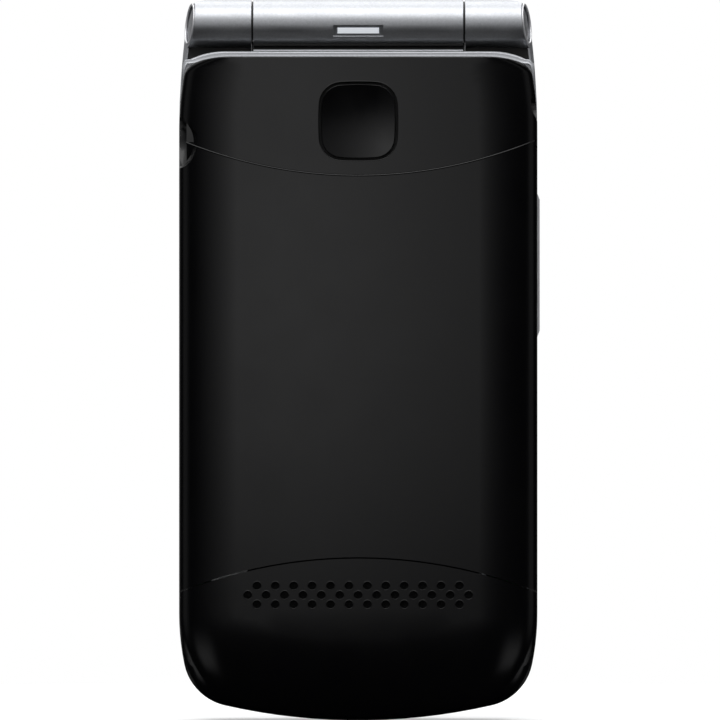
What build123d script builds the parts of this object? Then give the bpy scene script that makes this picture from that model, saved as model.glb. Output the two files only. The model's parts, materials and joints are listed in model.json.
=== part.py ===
from build123d import *
from dataclasses import dataclass, replace
from math import cos, radians, sin, sqrt, tan
import os

# A flip phone, closed. +Z runs up the phone to its hinge, +X to the right as seen from behind, -Y out
# of the back of the base and +Y out of the lid. Z = 0 is the bottom end and Y = 0 is half the
# thickness. Every length is in millimetres and every angle in degrees.

# Overall size
body_width = 52.65
body_height = 106.0
base_depth = 10.35
lid_depth = 7.85
parting_gap = 0.3

# Hinge
barrel_radius = 3.5
barrel_side = 10.875
knuckle_gap = 0.3
knuckle_end_side = 0.825
knuckle_end_slant = 11.0
knuckle_end_lean = 7.0
hinge_bore_radius = 2.55
hinge_open_angle = 160.0
hinge_core_half = 5.0
neck_thickness = 1.4
neck_curve = 0.3
bush_grip = 4.6
bush_reach = 2.3
bush_step = 0.35
bush_bore_radius = 1.6
can_end_wall = 3.3
shaft_radius = 1.5
shaft_end_gap = 0.5
shaft_head_length = 5.0
shaft_head_radius = 2.2
shaft_flats = 3.2

# Walls, seams and fits
shell_wall = 1.25
frame_wall = 1.5
bezel_rebate = 0.6
seam = 0.2
slide_fit = 0.15
running_fit = 0.05
press_fit = 0.02

# How far the back and the lid roll off towards their edges
back_roll_side = 8.6
back_roll_bottom = 12.0
back_roll_top = 5.0
back_roll_depth = 4.0
lid_roll_side = 7.0
lid_roll_bottom = 10.0
lid_roll_top = 9.0
lid_roll_depth = 3.5

# Ends of the rear shell and of the frame, measured down from the top of the barrel
shell_top_drop = 8.47
frame_top_drop = 7.65
lid_top_drop = 7.8
rear_shell_front = 2.6

# Battery, door and tub
battery_side = 7.325
battery_thickness = 4.3
battery_above_seam = 2.26
battery_below_seam = 1.67
battery_play = 0.3
tub_wall = 1.0
tub_floor = 0.5
tub_rim_drop = 0.4
door_upper_drop = 25.93
door_lower_seam = 23.94
door_upper_radius = 68.0
door_lower_radius = 71.0
door_lip = 1.3
notch_radius = 4.2
notch_drop = 21.0
notch_reach = 2.2

# Loudspeaker grille
grille_side = 10.125
grille_row_pitch = 1.365
grille_hole_radius = 0.62
grille_holes = 13
grille_height = 18.49
speaker_side = 11.825
speaker_depth = 3.0
speaker_length = 8.8
speaker_bottom = 12.0
mesh_thickness = 0.1

# Circuit board and keypad stack
board_thickness = 0.8
board_below_front = 2.7
dome_radius = 1.7
dome_height = 0.25
mat_thickness = 0.35
mat_rise = 0.45
mat_foot = 0.6
bezel_thickness = 0.9
key_gap = 0.18
key_flange = 0.45
key_flange_thickness = 0.35
key_flange_play = 0.1
key_travel = 0.35
key_proud = 0.05
key_plunger_radius = 1.0

# Dialling keys
dial_columns = 3
dial_rows = 4
dial_side = 4.425
dial_below_nav = 18.8
dial_bottom_row = 22.6
dial_column_gap = 1.2
dial_row_gap = 2.8
dial_key_corner = 3.0

# Navigation cluster
nav_drop = 27.4
nav_length = 19.0
nav_side_gap = 1.3
nav_corner = 7.0
nav_tilt = 2.5
nav_sunk = 0.1
nav_lip = 0.55
ok_radius = 5.2
side_key_side = 8.725
side_key_corner = 2.6
soft_key_size = (9.6, 7.4)
soft_key_rise = 6.0
call_key_size = (9.6, 9.0)
call_key_fall = 4.2

# Emergency button
button_hole_width = 11.66
button_bulge = 0.35
button_corner = 3.3
button_gap = 0.4
button_drop = 18.0
button_travel = 0.3
button_flange = 0.8
button_flange_thickness = 0.7
button_stem_radius = 1.5
button_dish_depth = 0.55
button_dish_reach = 6.2

# Volume rocker
rocker_length = 21.05
rocker_width = 2.4
rocker_drop = 39.1
rocker_proud = 0.35
rocker_flange = 0.6
rocker_flange_thickness = 0.7
rocker_play = 0.45
rocker_bevel = 0.9
rocker_from_front = 4.4
rocker_bead = 0.4

# Sockets
jack_bore_radius = 1.8
jack_bore_depth = 12.5
jack_nozzle_radius = 2.4
jack_drop = 15.6
jack_body = (13.4, 4.1, 5.0)
usb_drop = 40.25
usb_size = (5.2, 2.5, 7.5)
usb_wall = 0.3

# Light bar
light_bar_dip = 19.0
light_bar_size = (6.1, 0.8)
light_recess_size = (7.4, 1.7)
light_recess_depth = 0.3

# Screws
screw_head_radius = 1.4
screw_head_height = 0.85
screw_shank_radius = 0.7
screw_slot_half = (0.9, 0.18)
lid_screw_seat = 1.05
lid_screw_head_height = 0.6
lid_screw_grip = 2.6
post_radius = 1.5
base_post_side = 4.525
base_post_low = 28.0
base_post_drop = 28.4

# Lid
main_lens_side = 4.025
main_lens_bottom = 19.2
main_lens_drop = 25.2
main_lens_thickness = 0.9
main_lens_corner = 2.0
display_margin = 0.9
display_thickness = 1.8
window_margin = 2.3
lid_bezel_thickness = 1.4
lid_bezel_sunk = 0.1
lid_board_gap = 0.3
outer_lens_side = 12.325
outer_lens_length = 24.0
outer_lens_drop = 44.0
outer_lens_thickness = 0.9
outer_display_thickness = 1.7
camera_drop = 23.5
camera_ring_radius = 4.2
camera_glass_radius = 2.8
bumper_radius = 1.7
bumper_side = 5.325
bumper_low = 9.5
bumper_drop = 15.0
bumper_clear = 0.05
earpiece_height = 11.5
earpiece_slot = (8.0, 1.2)
cap_radius = 2.6
cap_groove = 0.25
cap_depth = 0.9

# Small parts on the boards
radio_can = (4.525, 7.0, 2.0)
radio_can_drop = 12.0
radio_can_gap = 1.9
processor_can = (6.0, 1.8, 9.8)
processor_can_side = 4.725
motor_radius = 2.2
motor_length = 7.0
motor_side = 7.925
motor_bottom = 12.4
motor_weight_length = 2.6
sim_socket = (-9.5, 15.5, 14.0)
card_socket = (8.5, 13.0, 14.0)
card_rise = 17.0
contact_block = (10.0, 3.8, 1.5)
contact_inset = 10.0
antenna_size = (29.0, 2.2, 6.2)
antenna_bottom = 4.6
antenna_foil = 0.15
microphone_size = (3.6, 2.8)
microphone_bottom = 5.0
earpiece_size = (12.0, 2.1, 5.2)
camera_size = 7.2
lid_board_side = 8.325
lid_board_drop = 11.0
ribbon_thickness = 0.3
ribbon_width = 2.6
ribbon_chamber_radius = 1.55
ribbon_chamber_length = 3.6
ribbon_groove_drop = 12.0

# Places worked out from the sizes above
half_width = body_width / 2
knuckle_half_span = half_width - knuckle_end_side
door_upper_seam = body_height - door_upper_drop
notch_height = body_height - notch_drop
button_height = body_height - button_drop
rocker_height = body_height - rocker_drop
jack_height = body_height - jack_drop
usb_height = body_height - usb_drop
base_post_x = half_width - base_post_side
base_post_high = body_height - base_post_drop
nav_height = body_height - nav_drop
soft_key_height = nav_height + soft_key_rise
call_key_height = nav_height - call_key_fall
side_key_x = half_width - side_key_side
nav_size = (2 * side_key_x - soft_key_size[0] - 2 * nav_side_gap, nav_length)
dial_column_pitch = (body_width - 2 * dial_side) / dial_columns
dial_row_pitch = (nav_height - dial_below_nav - dial_bottom_row) / (dial_rows - 1)
dial_key_size = (dial_column_pitch - dial_column_gap, dial_row_pitch - dial_row_gap)
grille_pitch = (body_width - 2 * grille_side) / (grille_holes - 1)
speaker_width = body_width - 2 * speaker_side
main_lens_size = (body_width - 2 * main_lens_side, body_height - main_lens_drop - main_lens_bottom)
main_lens_height = main_lens_bottom + main_lens_size[1] / 2
outer_lens_size = (body_width - 2 * outer_lens_side, outer_lens_length)
outer_lens_height = body_height - outer_lens_drop
camera_height = body_height - camera_drop
bumper_x = half_width - bumper_side
bumper_high = body_height - bumper_drop
battery_width = body_width - 2 * battery_side
contact_block_x = contact_inset - battery_width / 2
battery_bottom = door_lower_seam + battery_above_seam
battery_top = door_upper_seam - battery_below_seam
battery_length = battery_top - battery_bottom
thickness = base_depth + parting_gap + lid_depth
back_y = -thickness / 2
base_front_y = back_y + base_depth
lid_inner_y = base_front_y + parting_gap
lid_outer_y = lid_inner_y + lid_depth
hinge_y = (base_front_y + lid_inner_y) / 2
hinge_z = body_height - barrel_radius
barrel_half = half_width - barrel_side
can_start = hinge_core_half + slide_fit
knuckle_start = barrel_half + knuckle_gap
shell_front_y = base_front_y - rear_shell_front
door_edge_y = back_y + back_roll_depth
inner_back_y = back_y + shell_wall
lid_split_y = hinge_y + barrel_radius
lid_roll_y = lid_outer_y - lid_roll_depth
inner_lid_y = lid_outer_y - shell_wall
bezel_back_y = base_front_y - bezel_thickness
board_front_y = base_front_y - board_below_front
board_back_y = board_front_y - board_thickness
battery_back_y = inner_back_y + 0.2
battery_front_y = battery_back_y + battery_thickness
tub_floor_y = battery_front_y + 0.1
tub_half = battery_width / 2 + battery_play
tub_low = battery_bottom - battery_play
tub_high = battery_top + battery_play
lid_bezel_y = lid_inner_y + lid_bezel_sunk
lid_bezel_back_y = lid_bezel_y + lid_bezel_thickness
lid_board_y = lid_bezel_back_y + display_thickness + lid_board_gap
lid_board_back_y = lid_board_y + board_thickness
slant = tan(radians(knuckle_end_slant))
lean = tan(radians(knuckle_end_lean))


# Drawing helpers

def facing_back(y):
    """A drawing plane at depth y: x to the right, y up the phone, extruding towards the back."""
    return Plane(origin=(0, y, 0), x_dir=(1, 0, 0), z_dir=(0, -1, 0))


def facing_right(x):
    """A drawing plane at width x: x towards the lid, y up the phone, extruding towards +X."""
    return Plane(origin=(x, 0, 0), x_dir=(0, 1, 0), z_dir=(1, 0, 0))


def slab(sketch, y_low, y_high):
    """The drawn shape as a plate between two depths."""
    return extrude(facing_back(y_high) * sketch, amount=y_high - y_low)


def rib(sketch, x_low, x_high):
    """The shape drawn from the side as a solid between two widths."""
    return extrude(facing_right(x_low) * sketch, amount=x_high - x_low)


def box(x_low, x_high, y_low, y_high, z_low, z_high):
    """A box between its low and high corners."""
    middle = ((x_low + x_high) / 2, (y_low + y_high) / 2, (z_low + z_high) / 2)
    return Pos(*middle) * Box(x_high - x_low, y_high - y_low, z_high - z_low)


def rod_y(x, z, radius, y_low, y_high):
    """A rod through the thickness of the phone."""
    return slab(Pos(x, z) * Circle(radius), y_low, y_high)


def rod_x(radius, x_low, x_high, y=hinge_y, z=hinge_z):
    """A rod across the phone, on the hinge axis unless told otherwise."""
    return rib(Pos(y, z) * Circle(radius), x_low, x_high)


def both_sides(solid):
    """The solid and its mirror image in the middle plane of the phone."""
    return Part() + [solid, mirror(solid, about=Plane.YZ)]


def arc_on(centre, radius, start, end):
    """The short arc of a circle between two of its points."""
    outwards = ((start + end) * 0.5 - centre).normalized()
    return ThreePointArc(start, centre + outwards * radius, end)


def joining_arc(circle_a, circle_b, radius, turn):
    """The arc that runs inside two circles and touches both: its centre and its two ends."""
    centre_a, radius_a = circle_a
    centre_b, radius_b = circle_b
    span = centre_b - centre_a
    reach_a = radius_a - radius
    reach_b = radius_b - radius
    along = (reach_a**2 - reach_b**2 + span.length**2) / (2 * span.length)
    across = turn * sqrt(reach_a**2 - along**2)
    unit = span.normalized()
    centre = centre_a + unit * along + Vector(-unit.Y, unit.X) * across
    start = centre_a + (centre - centre_a).normalized() * radius_a
    end = centre_b + (centre - centre_b).normalized() * radius_b
    return centre, start, end


@dataclass(frozen=True)
class Outline:
    """A front view with an arched bottom, straight sides, and corners that tighten in three arcs."""

    half_width: float
    bottom: float
    top: float
    arch_radius: float = 88.25
    bottom_lead_radius: float = 36.8
    bottom_lead_length: float = 15.75
    bottom_corner: float = 7.85
    side_lead_radius: float = 45.8
    side_lead_length: float = 10.7
    top_lead_radius: float = 14.5
    top_lead_length: float = 7.3
    top_corner: float = 2.9

    def inset(self, side, bottom, top):
        """The same outline, drawn in at its sides, bottom and top."""
        return replace(
            self,
            half_width=self.half_width - side,
            bottom=self.bottom + bottom,
            top=self.top - top,
        )

    def face(self):
        """The outline as a drawn face."""
        arch = Vector(0, self.bottom + self.arch_radius), self.arch_radius
        low_start = Vector(self.half_width, self.bottom + self.bottom_lead_length)
        low = low_start - Vector(self.bottom_lead_radius, 0), self.bottom_lead_radius
        high_start = Vector(self.half_width, self.top - self.side_lead_length)
        high = high_start - Vector(self.side_lead_radius, 0), self.side_lead_radius
        top_start = Vector(self.half_width - self.top_lead_length, self.top)
        top = top_start - Vector(0, self.top_lead_radius), self.top_lead_radius
        low_centre, low_a, low_b = joining_arc(arch, low, self.bottom_corner, 1)
        high_centre, high_a, high_b = joining_arc(top, high, self.top_corner, -1)
        right = [
            arc_on(low_centre, self.bottom_corner, low_a, low_b),
            arc_on(*low, low_b, low_start),
            Line(low_start, high_start),
            arc_on(*high, high_start, high_b),
            arc_on(high_centre, self.top_corner, high_b, high_a),
            arc_on(*top, high_a, top_start),
        ]
        left = [mirror(edge, about=Plane.YZ) for edge in right]
        arched = ThreePointArc(Vector(-low_a.X, low_a.Y), Vector(0, self.bottom), low_a)
        flat = Line(top_start, Vector(-top_start.X, top_start.Y))
        return make_face([arched, *right, flat, *left])


def pillow(outline, y_edge, y_face, roll):
    """The outline closing in along a quarter ellipse, from its edge to its flat face."""
    steps = 6
    sections = []
    for step in range(steps + 1):
        angle = radians(90 * step / steps)
        share = 1 - cos(angle)
        section = outline.inset(*(width * share for width in roll))
        y = y_edge + (y_face - y_edge) * sin(angle)
        sections.append(facing_back(y) * section.face())
    return loft(sections)


shell_outline = Outline(half_width, 0, body_height - shell_top_drop)
frame_outline = replace(
    shell_outline,
    top=body_height - frame_top_drop,
    side_lead_radius=52.0,
    side_lead_length=9.5,
    top_lead_radius=11.0,
    top_lead_length=6.5,
    top_corner=2.35,
)
lid_outline = replace(
    shell_outline,
    top=body_height,
    side_lead_radius=100.0,
    side_lead_length=17.5,
    top_lead_radius=9.0,
    top_lead_length=4.6,
    top_corner=2.2,
)


def cushion(width, bulge, corner):
    """A square with bowed sides and rounded corners."""
    half = width / 2
    short = half - bulge
    sides = [
        ThreePointArc((-short, short), (0, half), (short, short)),
        ThreePointArc((short, short), (half, 0), (short, -short)),
        ThreePointArc((short, -short), (0, -half), (-short, -short)),
        ThreePointArc((-short, -short), (-half, 0), (-short, short)),
    ]
    square = make_face(sides)
    return fillet(square.vertices(), corner)


# Base housing

def back_form():
    """The outside of the base from its parting line back."""
    straight = slab(shell_outline.face(), door_edge_y, shell_front_y)
    return straight + pillow(
        shell_outline, door_edge_y, back_y, (back_roll_side, back_roll_bottom, back_roll_top)
    )


def back_cavity():
    """The inside of the rear housing."""
    inner = shell_outline.inset(shell_wall, shell_wall, shell_wall)
    less = shell_wall / 2.5
    roll = (back_roll_side - less, back_roll_bottom - less, back_roll_top - less)
    straight = slab(inner.face(), door_edge_y, shell_front_y)
    return straight + pillow(inner, door_edge_y, inner_back_y, roll)


def door_area(grow):
    """The panel between the two bowed seams, drawn larger on every side by the given amount."""
    reach = half_width + 2
    upper_centre = door_upper_seam + door_upper_radius
    lower_centre = door_lower_seam - door_lower_radius
    upper = door_upper_radius - grow
    lower = door_lower_radius - grow
    upper_end = upper_centre - sqrt(upper**2 - reach**2)
    lower_end = lower_centre + sqrt(lower**2 - reach**2)
    edges = [
        ThreePointArc((-reach, upper_end), (0, upper_centre - upper), (reach, upper_end)),
        Line((reach, upper_end), (reach, lower_end)),
        ThreePointArc((reach, lower_end), (0, lower_centre + lower), (-reach, lower_end)),
        Line((-reach, lower_end), (-reach, upper_end)),
    ]
    return make_face(edges)


def nail_notch():
    """The scoop at the left end of the upper seam, where a fingernail lifts the door."""
    centre_x = -half_width - notch_radius + notch_reach
    floor_y = door_edge_y + 0.9
    scoop = Pos(centre_x, notch_height) * Circle(notch_radius)
    return extrude(facing_back(floor_y) * scoop, amount=floor_y - back_y + 1, taper=-8)


def notch_backing(deep_y, outer_x):
    """The wall inside the notch, from the given depth up to just behind the board."""
    inner_x = half_width - notch_reach - shell_wall
    tall = notch_radius + shell_wall
    front_y = board_back_y - 0.4
    return box(-outer_x, -inner_x, deep_y, front_y, notch_height - tall, notch_height + tall)


def battery_tub():
    """Walls and floor of the battery bay, and the lips that the door rests on."""
    low = tub_low - tub_wall
    high = tub_high + tub_wall
    side = half_width - shell_wall / 2
    floor = box(-side, side, tub_floor_y, tub_floor_y + tub_floor, low, high)
    outside = tub_half + tub_wall
    rim_y = battery_back_y + tub_rim_drop
    walls = box(-outside, outside, rim_y, tub_floor_y + tub_floor / 2, low, high)
    walls -= box(-tub_half, tub_half, rim_y - 1, tub_floor_y, tub_low, tub_high)
    lip_half = half_width - back_roll_side - 1.5
    strip = box(-lip_half, lip_half, inner_back_y, inner_back_y + 1.0, low - 6, high + 6)
    lips = strip & slab(door_area(door_lip), back_y, 0)
    lips -= slab(door_area(-door_lip), back_y - 1, 1)
    lips -= slab(door_area(seam / 2), back_y - 1, inner_back_y + slide_fit)
    return floor + walls + lips


def usb_seat(clear):
    """The space that the USB socket takes, with the given clearance round it."""
    depth, tall, wide = usb_size
    outer = half_width + 1 if clear else half_width - 0.75
    y_mid = usb_y()
    return box(
        -outer,
        -half_width + 0.75 + depth + clear,
        y_mid - tall / 2 - clear,
        y_mid + tall / 2 + clear,
        usb_height - wide / 2 - clear,
        usb_height + wide / 2 + clear,
    )


def usb_y():
    """Depth of the USB socket's middle: it is sunk into the board's edge by half a millimetre."""
    return board_back_y + 0.5 - usb_size[1] / 2


def rocker_y():
    """Depth of the volume rocker's middle."""
    return base_front_y - rocker_from_front


def rocker_opening():
    """The slot in the right side wall that the volume rocker stands in."""
    high = rocker_width / 2 + slide_fit
    long = rocker_length / 2 + slide_fit
    y = rocker_y()
    inner_x = tub_half + tub_wall + 1
    low, top = rocker_height - long, rocker_height + long
    return box(inner_x, half_width + 1, y - high, y + high, low, top)


def rocker_fulcrum():
    """The rib behind the middle of the volume rocker that it tips on."""
    x = rocker_inner_x() - running_fit
    y = rocker_y()
    floor_y = tub_floor_y + tub_floor
    post = box(x - 1.2, x, y - 0.8, floor_y, rocker_height - 0.4, rocker_height + 0.4)
    post += Pos(x + running_fit, y - 0.8, rocker_height) * Rotation(-90, 0, 0) * Cylinder(
        rocker_bead, 1.6, align=(Align.CENTER, Align.CENTER, Align.MIN)
    )
    foot_x = tub_half + tub_wall - 0.2
    return post + box(foot_x, x, floor_y - tub_floor, floor_y, rocker_height - 1, rocker_height + 1)


def jack_y():
    """Depth of the headset socket's axis: its body stands on the board."""
    return board_back_y - jack_body[1] / 2


def base_post_places():
    """Where the screws hold the rear shell to the frame."""
    return [
        (side * base_post_x, z) for side in (-1, 1) for z in (base_post_low, base_post_high)
    ]


def grille_places():
    """The speaker holes: a full middle row, and a shifted row one shorter on each side of it."""
    places = []
    for row, count in ((-1, grille_holes - 1), (0, grille_holes), (1, grille_holes - 1)):
        start = -(count - 1) / 2 * grille_pitch
        for hole in range(count):
            places.append((start + hole * grille_pitch, grille_height + row * grille_row_pitch))
    return places


def base_rear_shell():
    """The black rear housing, open where the door closes it."""
    form = back_form()
    shell = form - back_cavity()
    shell += notch_backing(back_y + 2.2, half_width - 0.6) & form
    shell -= slab(door_area(seam / 2), back_y - 1, door_edge_y)
    shell += notch_backing(back_y + 3.4, half_width - 2.0)
    shell += battery_tub()
    outside = tub_half + tub_wall
    side = half_width - shell_wall
    for x_low, x_high, middle, reach in (
        (-side, -outside, usb_height, usb_size[2]),
        (outside, side, rocker_height, rocker_length / 2 + 2),
    ):
        low, high = middle - reach, middle + reach
        shell -= box(x_low, x_high, tub_floor_y - 0.2, tub_floor_y + tub_floor + 1, low, high)
    z = battery_bottom + card_rise
    for x, width, length in (sim_socket, card_socket):
        wide = width / 2 + slide_fit
        tall = length / 2 + slide_fit
        shell -= box(x - wide, x + wide, tub_floor_y - 1, 0, z - tall, z + tall)
    shell -= box(*contact_span(slide_fit))
    for x, z in base_post_places():
        shell -= rod_y(x, z, screw_shank_radius + 0.15, back_y, shell_front_y)
    for x, z in grille_places():
        shell -= rod_y(x, z, grille_hole_radius, back_y - 1, inner_back_y + 0.2)
    hole = cushion(button_hole_width, button_bulge, button_corner)
    shell -= slab(Pos(0, button_height) * hole, back_y - 1, inner_back_y + 1)
    shell -= slab(Pos(0, button_height) * button_flange_shape(slide_fit), inner_back_y, board_back_y)
    shell -= usb_seat(0.2)
    shell -= rocker_opening()
    shell += rocker_fulcrum()
    nozzle_x = jack_nozzle_start() - 1
    shell -= rod_x(jack_nozzle_radius + 0.1, nozzle_x, half_width + 1, jack_y(), jack_height)
    shell -= nail_notch()
    return shell


def battery_door():
    """The lift-off panel of the back, with its four guide tongues."""
    panel = back_form() - back_cavity()
    panel &= slab(door_area(-seam / 2), back_y - 1, door_edge_y - slide_fit)
    tongue_x = tub_half + tub_wall + 1.0
    tongue = box(
        tongue_x, tongue_x + 0.8, inner_back_y - 0.2, tub_floor_y - 0.9, -2.5, 2.5
    )
    for z in (base_post_low + 10, usb_height - 13.75):
        panel += both_sides(Pos(0, 0, z) * tongue)
    return panel - nail_notch()


def base_front_frame():
    """The silver frame round the keypad, with the neck and the centre barrel of the hinge."""
    frame = slab(frame_outline.face(), shell_front_y, base_front_y)
    opening = frame_outline.inset(frame_wall, frame_wall, frame_wall + 0.4)
    frame -= slab(opening.face(), shell_front_y - 1, base_front_y + 1)
    rebate = opening.inset(-bezel_rebate, -bezel_rebate, -bezel_rebate)
    frame -= slab(rebate.face(), bezel_back_y, base_front_y + 1)
    rim_z = body_height - frame_top_drop
    web_y = base_front_y - neck_thickness
    frame += box(-barrel_half, barrel_half, web_y, base_front_y, rim_z - 0.5, hinge_z)
    curve = neck_curve
    fillet_face = make_face(
        [
            Line((web_y, rim_z), (web_y - curve, rim_z)),
            arc_on(
                Vector(web_y - curve, rim_z + curve),
                curve,
                Vector(web_y - curve, rim_z),
                Vector(web_y, rim_z + curve),
            ),
            Line((web_y, rim_z + curve), (web_y, rim_z)),
        ]
    )
    frame += rib(fillet_face, -barrel_half, barrel_half)
    frame += rod_x(barrel_radius, -barrel_half, barrel_half)
    pocket = light_bar_plane() * Pos(0, 0, -barrel_radius + 1.0)
    frame -= pocket * Box(9.0, 2.0, 1.6, align=(Align.CENTER, Align.CENTER, Align.MIN))
    long, tall = light_bar_size
    frame -= light_bar_plane() * Box(long + 0.1, tall + 0.1, 3.0)
    frame -= light_bar_plane() * Box(*light_recess_size, 2 * light_recess_depth)
    frame -= rod_x(hinge_bore_radius, hinge_core_half, barrel_half + 1)
    frame -= rod_x(hinge_bore_radius, -barrel_half - 1, -hinge_core_half)
    for x, z in base_post_places():
        arm = box(min(x, 0), max(x, 0), shell_front_y, key_floor_y(), z - 0.7, z + 0.7)
        arm += box(-half_width + 1, half_width - 1, shell_front_y, key_floor_y(), z - 0.7, z + 0.7)
        arm &= box(x - 1, x + 1, back_y, lid_outer_y, z - 1, z + 1) + side_strip(x, z)
        frame += arm
        frame += rod_y(x, z, post_radius, tub_floor_y + tub_floor, key_floor_y())
    for x, z in base_post_places():
        frame -= rod_y(x, z, screw_shank_radius, back_y, base_screw_tip())
    return frame


def side_strip(x, z):
    """The stretch between a screw post and the frame's side wall."""
    outer = half_width - 1
    x_low = x if x > 0 else -outer
    x_high = outer if x > 0 else x
    return box(x_low, x_high, back_y, lid_outer_y, z - 1, z + 1)


def key_floor_y():
    """The deepest that a pressed key's flange comes, less a clearance."""
    return bezel_back_y - key_flange_play - key_flange_thickness - key_travel - slide_fit


def base_screw_tip():
    """Where the base screws end, inside their posts."""
    return key_floor_y() - 0.25


def light_bar_plane():
    """The plane that touches the barrel at the light bar, facing out and a little down."""
    dip = radians(light_bar_dip)
    outwards = Vector(0, -cos(dip), -sin(dip))
    centre = Vector(0, hinge_y, hinge_z) + outwards * barrel_radius
    return Plane(origin=centre, x_dir=(1, 0, 0), z_dir=outwards)


def light_bar_lens():
    """The clear bar in the barrel's slot, a little below the barrel's surface."""
    long, tall = light_bar_size
    sunk = 0.15
    depth = barrel_radius - hinge_bore_radius + 0.1
    return light_bar_plane() * Pos(0, 0, -sunk - depth / 2) * Box(long, tall, depth)


def light_bar_board():
    """The strip of lamps behind the light bar."""
    floor = light_bar_plane() * Pos(0, 0, -barrel_radius + 1.0)
    upwards = (Align.CENTER, Align.CENTER, Align.MIN)
    board = floor * Box(8.6, 1.7, 0.5, align=upwards)
    for x in (-2.0, 2.0):
        board += floor * Pos(x, 0, 0.4) * Box(1.6, 0.8, 0.5, align=upwards)
    return board


# Keypad

@dataclass(frozen=True)
class Key:
    """A key of the keypad: where it is and how large its cap is."""

    name: str
    x: float
    z: float
    size: tuple
    corner: float

    def shape(self, grow):
        """The cap's front view, drawn larger all round by the given amount."""
        width, height = (side + 2 * grow for side in self.size)
        return Pos(self.x, self.z) * RectangleRounded(width, height, self.corner + grow)


def keypad():
    """Every key but the navigation ring."""
    keys = []
    names = [["star", "0", "hash"], ["7", "8", "9"], ["4", "5", "6"], ["1", "2", "3"]]
    for row in range(dial_rows):
        for column in range(dial_columns):
            x = (column - (dial_columns - 1) / 2) * dial_column_pitch
            z = dial_bottom_row + row * dial_row_pitch
            name = f"key_{names[row][2 - column]}"
            keys.append(Key(name, x, z, dial_key_size, dial_key_corner))
    round_size = (2 * ok_radius, 2 * ok_radius)
    keys.append(Key("ok_key", 0, nav_height, round_size, ok_radius - 0.01))
    keys.append(Key("soft_key_left", side_key_x, soft_key_height, soft_key_size, side_key_corner))
    keys.append(Key("soft_key_right", -side_key_x, soft_key_height, soft_key_size, side_key_corner))
    keys.append(Key("call_key", side_key_x, call_key_height, call_key_size, side_key_corner))
    keys.append(Key("end_key", -side_key_x, call_key_height, call_key_size, side_key_corner))
    return keys


def key_cap(key):
    """A cap with its flange under the bezel and its plunger over the dome."""
    top_y = base_front_y + key_proud
    flange_y = bezel_back_y - key_flange_play
    cap = slab(key.shape(0), flange_y - key_flange_thickness, top_y)
    front_edges = cap.faces().sort_by(Axis.Y)[-1].edges()
    cap = chamfer(front_edges, 0.2)
    cap += slab(key.shape(key_flange), flange_y - key_flange_thickness, flange_y)
    return cap + rod_y(key.x, key.z, key_plunger_radius, plunger_end_y(), flange_y)


def plunger_end_y():
    """Where a key's plunger ends at rest: its travel and a little more above the dome."""
    return board_front_y + dome_height + key_travel + running_fit


def nav_shape(grow):
    """The navigation ring's outer outline, drawn larger all round by the given amount."""
    width, height = (side + 2 * grow for side in nav_size)
    return Pos(0, nav_height) * RectangleRounded(width, height, nav_corner + grow)


def nav_rocker():
    """The ring round the OK key, which rocks about the line across its middle."""
    flange_y = bezel_back_y - 0.5
    hole = Pos(0, nav_height) * Circle(ok_radius + key_flange + 0.4)
    neck = Pos(0, nav_height) * Circle(ok_radius + key_gap)
    lip_y = base_front_y - nav_sunk - nav_lip
    ring = slab(nav_shape(0) - neck, lip_y, base_front_y - nav_sunk)
    ring += slab(nav_shape(0) - hole, flange_y - key_flange_thickness, base_front_y - 0.4)
    return ring + slab(nav_shape(0.55) - hole, flange_y - key_flange_thickness, flange_y)


def keypad_bezel():
    """The front plate of the base, with an opening for each key and one for the microphone."""
    gap = 0.05
    less = frame_wall - bezel_rebate + gap
    plate = slab(frame_outline.inset(less, less, less + 0.4).face(), bezel_back_y, base_front_y)
    for key in keypad():
        if key.name != "ok_key":
            plate -= slab(key.shape(key_gap), bezel_back_y - 1, base_front_y + 1)
    plate -= slab(nav_shape(0.35), bezel_back_y - 1, base_front_y + 1)
    return plate - rod_y(0, microphone_height(), 0.5, bezel_back_y - 1, base_front_y + 1)


def key_mat():
    """The silicone mat between the keys and the domes, on a foot that stands on the board."""
    low = dial_bottom_row - dial_row_pitch / 2 - 1.2
    high = soft_key_height + soft_key_size[1] / 2 + 3.6
    half = base_post_x - post_radius - 0.3
    middle = (low + high) / 2
    outer = Pos(0, middle) * Rectangle(2 * half, high - low)
    inner = Pos(0, middle) * Rectangle(2 * half - 2 * mat_foot, high - low - 2 * mat_foot)
    web_y = board_front_y + mat_rise
    mat = slab(outer, board_front_y, web_y + mat_thickness) - slab(inner, board_front_y - 1, web_y)
    for key in keypad():
        if key.name != "ok_key":
            mat -= rod_y(key.x, key.z, key_plunger_radius + 0.4, board_front_y, 0)
    return mat - slab(nav_shape(1.0), board_front_y - 1, 0)


def switch_domes():
    """The snap domes on the board: one under each key, and two under the navigation ring."""
    places = [(key.x, key.z) for key in keypad()]
    reach = nav_size[1] / 2 - 2.2
    places += [(0, nav_height - reach), (0, nav_height + reach)]
    rim = Circle(dome_radius)
    crown = Circle(dome_radius - 2 * dome_height)
    sections = [
        facing_back(board_front_y) * rim,
        facing_back(board_front_y + dome_height) * crown,
    ]
    dome = loft(sections, ruled=True)
    return Part() + [Pos(x, 0, z) * dome for x, z in places]


# Inside the base

def main_board():
    """The main circuit board, notched round the screw posts and the USB socket."""
    edge = shell_outline.inset(2.7, 3.2, 2.2)
    board = slab(edge.face(), board_back_y, board_front_y)
    for x, z in base_post_places():
        board -= rod_y(x, z, post_radius + 0.3, board_back_y - 1, board_front_y + 1)
    nozzle_x = jack_nozzle_start() - 0.4
    board -= rod_x(jack_nozzle_radius + 0.2, nozzle_x, half_width, jack_y(), jack_height)
    return board - usb_seat(0.2)


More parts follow.
